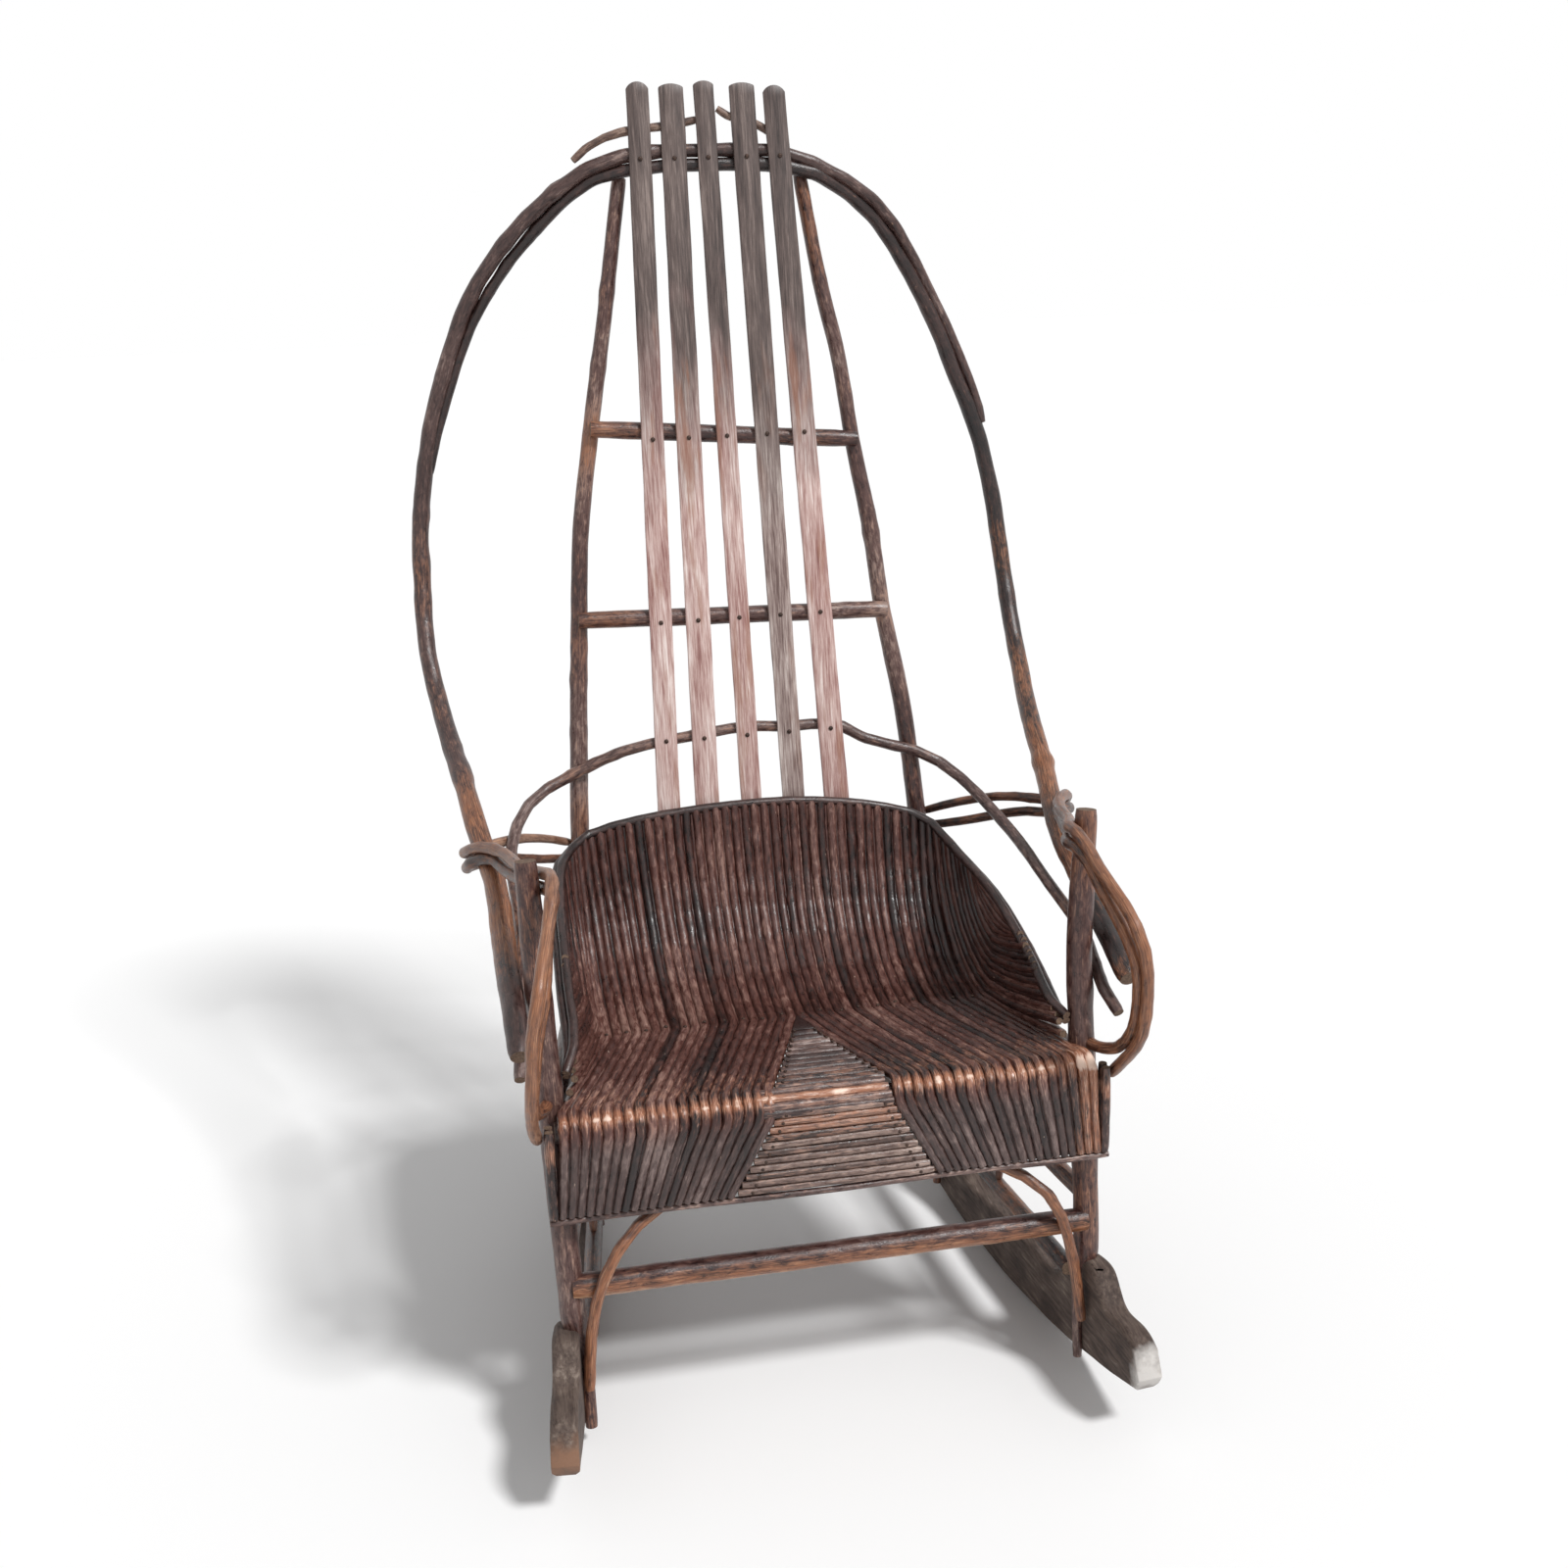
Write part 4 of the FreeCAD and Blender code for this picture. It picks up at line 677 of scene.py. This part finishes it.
# Where the sticks of the seat and the hoop settle against each other

POINTS = 44   # along each twig, so that the points of neighbours match
MID_SEAT = 30   # the point of a seat twig that lies in the middle of the seat
RIM_POINTS = 160
CLOSE = 42 * MM   # twigs farther apart than this have no twig between them
FEWEST_POINTS = 5   # a twig in between with no more points than this is left out
HOOP_MIDDLE = 0.85   # the height of the hoop's middle


def packed_to_the_rim(stick):
    """Twigs end at the middle of the rim's inner rod."""
    top = max((stick[0][0], stick[-1][0]), key=lambda end: end.z)
    level = min(rim_route, key=lambda place: (place.x - top.x) ** 2 + (place.y - top.y) ** 2).z
    settled = []
    for (a, girth), (b, other) in zip(stick, stick[1:] + stick[-1:]):
        if a.z <= level:
            settled.append((a, girth))
        if (a.z <= level) != (b.z <= level):
            settled.append((a.lerp(b, (level - a.z) / (b.z - a.z)), girth))
    return settled


def spaced(spine, count):
    """The spine as a set number of points, evenly spaced, from its lower to its upper end."""
    points = [one[:2] for one in evenly_spaced(spine, walked_along(spine), count - 1)]
    return points if points[0][0].z < points[-1][0].z else points[::-1]


def matched(node):
    """Each twig of a node, ended at the rim, as points that match those of its neighbours."""
    return [spaced(packed_to_the_rim(one), POINTS) for one in spines(node)]


rim_route = [point for point, girth in spaced(spines("rim_rod_inner")[0], RIM_POINTS)]


def beside(wall_twig, seat_twig):
    """For each point of the lowest wall twig, the nearest point of the outermost seat twig."""
    return [min(seat_twig, key=lambda one: (one[0] - point).length) for point, girth in wall_twig]


def under_the_rim(wall_twig):
    """The stretch of the rim between the ends of the uppermost wall twig."""
    first, last = [min(range(len(rim_route)), key=lambda i: (rim_route[i] - end[0]).length)
                   for end in (wall_twig[0], wall_twig[-1])]
    return [(rim_route[round(first + (last - first) * i / (POINTS - 1))], wall_twig[i][1])
            for i in range(POINTS)]


def blended(one, other, share):
    return [(a.lerp(b, share), girth) for (a, girth), (b, thick) in zip(one, other)]


def from_the_middle(seat_twig):
    """How far from the middle of the chair a seat twig runs."""
    return abs(seat_twig[MID_SEAT][0].x)


def close_twigs():
    """Thinner twigs close the grooves between the twigs of the seat and its walls."""
    for side in SIDES:
        seat = sorted(matched("seat_twigs_" + side), key=from_the_middle)
        wall = sorted(matched("wall_twigs_" + side), key=lambda twig: twig[-1][0].y, reverse=True)
        lay_between("seat_twigs_" + side, seat, slimness=0.62, setback=0.42)
        walls = [beside(wall[0], seat[-1])] + wall
        lay_between("wall_twigs_" + side, walls, slimness=0.74, setback=0.25)
        chance = random.Random("upper_wall_" + side)
        bm = new_sticks()
        for share in (0.28, 0.52, 0.76):
            add_stick(bm, blended(wall[-1], under_the_rim(wall[-1]), share), THIN_TWIG, chance, seat_wear_and_highlight)
        finish_piece(bm, "upper_wall_twigs_" + side, [SEAT_BARK, CUT_END], [])
    left, right = [min(matched("seat_twigs_" + side), key=from_the_middle) for side in SIDES]
    lay_between("seat_twigs_middle", [left, right], slimness=0.62, setback=0.42)


def lay_between(name, row, slimness, setback):
    """One thin twig between each two neighbours of a row, a little behind them, where they lie close."""
    chance = random.Random(name + "_between")
    bm = new_sticks()
    for one, other in zip(row, row[1:]):
        between = []
        for i, ((a, ra), (b, rb)) in enumerate(zip(one, other)):
            if (a - b).length > CLOSE:
                between = []
                continue
            heading = one[min(i + 1, POINTS - 1)][0] - one[max(i - 1, 0)][0]
            back = (b - a).cross(heading).normalized()
            if back.dot(Vector((0.7 if a.x > 0 else -0.7, 0.5, -0.5))) < 0:
                back = -back
            girth = (ra + rb) / 2
            room = max((a - b).length / 2 - girth, 0)
            between.append(((a + b) / 2 + back * girth * setback, min(slimness * girth + room, girth)))
        if len(between) > FEWEST_POINTS:
            add_stick(bm, between, THIN_TWIG, chance, seat_wear_and_highlight)
    finish_piece(bm, name + "_thin", [SEAT_BARK, CUT_END], [])


def drawn_together(stick, side, reach):
    """One sapling of the hoop drawn towards the other by a few millimetres on one side."""
    settled = []
    for point, girth in stick:
        share = smooth_step((side * point.x - 60 * MM) / (90 * MM))
        outward = Vector((point.x, 0, (point.z - HOOP_MIDDLE) * 0.9)).normalized()
        settled.append((point + outward * reach * share, girth))
    return settled


def lower_arm_ends_in_its_post(stick):
    """The loop of the lower arm rod comes round and ends in the front post."""
    if stick[0][0].y < stick[-1][0].y:
        stick = stick[::-1]
    tip, girth = stick[-1]
    post = sliced_spine("front_post_" + ("right" if tip.x > 0 else "left"), CUTS)
    target = min((place for place, thick in post), key=lambda place: abs(place.z - tip.z))
    hang = Vector((0, 0, -5 * MM))
    onward = [(tip.lerp(target, share) + hang, girth) for share in (0.35, 0.7)]
    return stick + onward + [(target, girth)]


def hidden_by_the_last_slat(stick):
    """The right crest rod ends behind the slat on the right."""
    end = max(point.x for point, girth in stick) - 13 * MM
    return [(point, girth) for point, girth in stick if point.x < end]


def left_side_outward(stick):
    return drawn_together(stick, -1, 6 * MM)


def right_side_inward(stick):
    """The outer sapling lies against the inner one on the right, and its tip swells into a knuckle."""
    drawn = drawn_together(stick, 1, -5 * MM)
    tip = min((point for point, girth in drawn if point.x > 0), key=lambda point: point.z)
    swollen = [1 + 0.35 * hump((point - tip).length, 12 * MM, 16 * MM) for point, girth in drawn]
    return [(point, girth * more) for (point, girth), more in zip(drawn, swollen)]


def round_the_rail():
    """Short twigs close the wedge where it turns over the front rail."""
    low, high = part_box("wedge_seat_twigs")
    rail_low, rail_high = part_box("front_seat_rail")
    middle = (rail_low + rail_high) / 2
    lay = (rail_high.z - rail_low.z) / 2 + 5.2 * MM
    chance = random.Random("round_the_rail")
    bm = new_sticks()
    for turn in (8, 36, 62, 84):
        angle = math.radians(turn)
        y = middle.y - math.sin(angle) * lay
        z = middle.z + math.cos(angle) * lay
        reach = high.x + turn * 0.07 * MM
        ends = [Vector((side * reach - 2 * MM, y, z)) for side in (-1, -0.33, 0.33, 1)]
        add_stick(bm, [(end, 4.6 * MM) for end in ends], SHORT_TWIG, chance, seat_wear_and_highlight)
    finish_piece(bm, "wedge_front_twigs", [APRON_BARK, CUT_END], [])


# Sticks

TWIG = Growth(sides=12, step=4.5, wander=0.26, lump=0.10, knots=18, knot=0.22, plump=1.04)
THIN_TWIG = Growth(sides=9, step=6, wander=0.30, lump=0.12, knots=12, knot=0.2)
SHORT_TWIG = Growth(sides=12, step=5, wander=0.16, lump=0.10, knots=14, knot=0.16, plump=1.04)
ROD = Growth(sides=16, step=6, wander=0.14, lump=0.06, knots=9, knot=0.16)
RIM_ROD = Growth(sides=16, step=6, wander=0.10, lump=0.05, knots=9, knot=0.14, plump=1.12)
CREST = Growth(sides=16, step=6, wander=0.2, lump=0.12, knots=14, knot=0.25, plump=1.2)
SAPLING = Growth(sides=20, step=6, wander=0.16, lump=0.055, knots=9, knot=0.17, plump=1.05)
ARM_ROD = Growth(sides=16, step=6, wander=0.14, lump=0.07, knots=10, knot=0.18, plump=1.1)
POLE = Growth(sides=24, step=6, wander=0.05, lump=0.04, knots=7, knot=0.12, round_end=0.3)
CUTS, POST_CUTS = 16, 26   # how often a nearly straight stick is sliced to read its spine

for side in SIDES:
    dress("seat_twigs_" + side, [SEAT_BARK, CUT_END], TWIG, seat_wear_and_highlight, settle=packed_to_the_rim)
    dress("wall_twigs_" + side, [SEAT_BARK, CUT_END], TWIG, seat_wear_and_highlight, settle=packed_to_the_rim)
    dress("apron_trim_" + side, [APRON_BARK, CUT_END], SHORT_TWIG, apron_wear)
    for word in ("upper", "lower"):
        dress("arm_rod_%s_%s" % (word, side), [ARM_BARK, CUT_END], ARM_ROD, arm_wear,
              settle=lower_arm_ends_in_its_post if word == "lower" else None)
        dress("side_stretcher_%s_%s" % (word, side), [POLE_BARK, CUT_END], POLE, post_wear, cuts=CUTS)
    dress("side_seat_rail_" + side, [POLE_BARK, CUT_END], POLE, post_wear, cuts=CUTS)
    dress("side_brace_" + side, [ARM_BARK, CUT_END], ROD, post_wear)
    dress("front_post_" + side, [POST_BARK, CUT_END], POLE, post_wear, cuts=CUTS)
    dress("back_post_" + side, [POST_BARK, CUT_END], POLE, post_wear, cuts=POST_CUTS)
close_twigs()
dress("wedge_seat_twigs", [APRON_BARK, CUT_END], SHORT_TWIG, seat_wear_and_highlight, flatten=0.9)
round_the_rail()
dress("wedge_apron_twigs", [WEDGE_BARK, CUT_END], SHORT_TWIG, apron_wear)
dress("apron_edging_rod", [APRON_BARK, CUT_END], ROD, apron_wear)
dress("rim_rod_outer", [POLE_BARK, CUT_END], RIM_ROD)
dress("rim_rod_inner", [POLE_BARK, CUT_END], RIM_ROD)
dress("hoop_sapling_outer", [POLE_BARK, CUT_END], SAPLING, pole_wear, settle=right_side_inward)
dress("hoop_sapling_inner", [POLE_BARK, CUT_END], SAPLING, pole_wear, settle=left_side_outward)
dress("back_bow", [POLE_BARK, CUT_END], ROD, bow_wear)
dress("front_arch_brace", [ARM_BARK, CUT_END], ROD, stretcher_wear)
dress("front_stretcher", [POST_BARK, CUT_END], POLE, stretcher_wear, cuts=CUTS)
dress("crest_rod_left", [PEELED, CUT_END], CREST)
dress("crest_rod_right", [PEELED, CUT_END], CREST, settle=hidden_by_the_last_slat)
for node in ("rear_stretcher", "front_seat_rail", "apron_rail", "rear_seat_rail", "back_rung_lower",
             "back_rung_upper", "seat_cross_rod_middle", "seat_cross_rod_rear"):
    dress(node, [POST_BARK, CUT_END], POLE, post_wear, cuts=CUTS)


# Slats, rockers, the wedge's point and nails

FLAT, EDGE, CREASE = [math.radians(angle) for angle in (0.5, 40, 35)]
DENTS = 22   # to each metre of a board


def hewn(node, material, cuts, axis, unevenness, edge):
    """A board from its CAD solid, cut into short lengths, unevenly worked and with worn edges."""
    bm = merged_copy(node)
    bmesh.ops.dissolve_limit(bm, angle_limit=FLAT, verts=bm.verts, edges=bm.edges)
    sharp = [e for e in bm.edges if len(e.link_faces) == 2 and e.calc_face_angle(0) > EDGE]
    bmesh.ops.bevel(bm, geom=sharp, affect="EDGES", offset=edge, segments=2, profile=0.5, material=-1)
    low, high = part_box(node)
    for i in range(1, cuts):
        at = low.lerp(high, i / cuts)
        bmesh.ops.bisect_plane(bm, geom=bm.verts[:] + bm.edges[:] + bm.faces[:], plane_co=at, plane_no=axis)
    seed = len(node) + sum(low)
    for vert in bm.verts:
        here = Vector((vert.co.x * DENTS + seed, vert.co.y * DENTS, vert.co.z * DENTS))
        vert.co += noise.noise_vector(here) * unevenness
    for face in bm.faces:
        face.smooth = True
    bmesh.ops.triangulate(bm, faces=[face for face in bm.faces if len(face.verts) > 4])
    piece = finish_piece(bm, node + "_board", [material], [node])
    piece.data.set_sharp_from_angle(angle=CREASE)


for number in range(1, 6):
    wood = SLAT_DARK if number == 4 else SLAT_RED
    hewn("slat_%d" % number, wood, cuts=60, axis=(0, 0.2, 1),
         unevenness=0.5 * MM, edge=1.2 * MM)
for side in SIDES:
    hewn("rocker_" + side, ROCKER_WOOD, cuts=70, axis=(0, 1, 0),
         unevenness=0.8 * MM, edge=1.0 * MM)
hewn("wedge_apex_block", APRON_BARK, cuts=3, axis=(0, 1, 0),
     unevenness=0.2 * MM, edge=0.4 * MM)


def domed_nails(node):
    """The nail heads of the CAD node, domed and rusty."""
    bm = new_sticks()
    old = merged_copy(node)
    for head in shells(old):
        middle = sum((corner.co for corner in head), Vector()) / len(head)
        girth = max((corner.co - middle).length for corner in head)
        cap = bmesh.ops.create_uvsphere(bm, u_segments=10, v_segments=6, radius=girth)["verts"]
        bmesh.ops.scale(bm, vec=(0.78, 0.45, 0.78), verts=cap)
        bmesh.ops.translate(bm, vec=middle, verts=cap)
    old.free()
    for face in bm.faces:
        face.smooth = True
    finish_piece(bm, node + "_domed", [NAIL_IRON], [node])


def dome(bm, middle, girth, facing):
    """A low round nail head on a surface."""
    head = bmesh.ops.create_uvsphere(bm, u_segments=8, v_segments=5, radius=girth)["verts"]
    bmesh.ops.scale(bm, vec=(1, 1, 0.5), verts=head)
    turn = facing.to_track_quat("Z", "Y").to_matrix()
    bmesh.ops.rotate(bm, cent=(0, 0, 0), matrix=turn, verts=head)
    bmesh.ops.translate(bm, vec=middle, verts=head)


def crossing(spine, axis, level):
    """Where a stick's spine passes a level along an axis, with its radius and its heading there."""
    for (a, girth), (b, other) in zip(spine, spine[1:]):
        if (a[axis] - level) * (b[axis] - level) <= 0 and a[axis] != b[axis]:
            return a.lerp(b, (level - a[axis]) / (b[axis] - a[axis])), girth, (b - a).normalized()
    return None


def seat_nails():
    """A nail in every second twig where the middle rod crosses under the seat, and in the wedge's twigs."""
    bm = new_sticks()
    low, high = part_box("seat_cross_rod_middle")
    chance = random.Random("seat_nails")
    for side in SIDES:
        for number, spine in enumerate(sorted(spines("seat_twigs_" + side), key=lambda one: one[0][0].x)):
            found = crossing(spine[:-2], 1, (low.y + high.y) / 2 + chance.uniform(-4, 4) * MM)
            if found and number % 2 == 0:
                middle, girth, heading = found
                facing = (Vector((0, 0, 1)) - heading * heading.z).normalized()
                dome(bm, middle + facing * girth * 1.1, 2.1 * MM, facing)
    for node, facing in (("wedge_apron_twigs", Vector((0, -1, 0))), ("wedge_seat_twigs", Vector((0, 0, 1)))):
        for spine in spines(node):
            ends = sorted((spine[0][0], spine[-1][0]), key=lambda end: end.x)
            for share in (0.07, 0.93):
                middle = ends[0].lerp(ends[1], share)
                dome(bm, middle + facing * spine[0][1] * 1.05, 1.8 * MM, facing)
    for face in bm.faces:
        face.smooth = True
    finish_piece(bm, "seat_nail_heads", [NAIL_IRON], [])


domed_nails("slat_nails")
seat_nails()


# Stage, light and camera

def pale_floor():
    bm = bmesh.new()
    bmesh.ops.create_grid(bm, x_segments=1, y_segments=1, size=14)
    mesh = bpy.data.meshes.new("floor")
    bm.to_mesh(mesh)
    bm.free()
    floor = bpy.data.objects.new("floor", mesh)
    bpy.context.scene.collection.objects.link(floor)
    shader = Shader("floor_white")
    shader.surface.inputs["Base Color"].default_value = (0.93, 0.93, 0.93, 1)
    shader.surface.inputs["Roughness"].default_value = 0.9
    mesh.materials.append(shader.material)


def soft_sun(heading, strength, spread):
    """One large soft lamp, far off, so that the floor is evenly lit."""
    lamp = bpy.data.lights.new("key", "SUN")
    lamp.energy = strength
    lamp.angle = math.radians(spread)
    holder = bpy.data.objects.new("key", lamp)
    holder.matrix_world = Vector(heading).to_track_quat("-Z", "Y").to_matrix().to_4x4()
    bpy.context.scene.collection.objects.link(holder)


def white_world():
    world = bpy.data.worlds.new("studio")
    world.use_nodes = True
    tree = world.node_tree
    back = tree.nodes["Background"]
    ray = tree.nodes.new("ShaderNodeLightPath")
    seen = tree.nodes.new("ShaderNodeMath")
    seen.operation = "MAXIMUM"
    tree.links.new(ray.outputs["Is Camera Ray"], seen.inputs[0])
    tree.links.new(ray.outputs["Is Glossy Ray"], seen.inputs[1])
    power = tree.nodes.new("ShaderNodeMapRange")
    power.inputs["To Min"].default_value = 0.45
    power.inputs["To Max"].default_value = 1.0
    tree.links.new(seen.outputs[0], power.inputs["Value"])
    tree.links.new(power.outputs[0], back.inputs["Strength"])
    back.inputs["Color"].default_value = (1, 1, 1, 1)
    bpy.context.scene.world = world


def photo_camera():
    """The camera that fits the photograph."""
    place = Vector((-0.32064, -1.77437, 1.17185))
    yaw, pitch, roll = 0.1868, 0.3162, -0.0271
    ahead = Vector((math.sin(yaw) * math.cos(pitch), math.cos(yaw) * math.cos(pitch), -math.sin(pitch)))
    level = Vector((math.cos(yaw), -math.sin(yaw), 0))
    up = level.cross(ahead)
    right = level * math.cos(roll) + up * math.sin(roll)
    above = up * math.cos(roll) - level * math.sin(roll)
    lens = bpy.data.cameras.new("photo_camera")
    lens.lens = 42.04
    lens.sensor_width = 36
    lens.clip_end = 100
    camera = bpy.data.objects.new("photo_camera", lens)
    turn = Matrix((right, above, -ahead)).transposed().to_4x4()
    camera.matrix_world = Matrix.Translation(place) @ turn
    bpy.context.scene.collection.objects.link(camera)
    bpy.context.scene.camera = camera


pale_floor()
white_world()
soft_sun((-0.52, 0.62, -1.0), strength=2.6, spread=10)
photo_camera()

view = bpy.context.scene.view_settings
view.view_transform = "Standard"
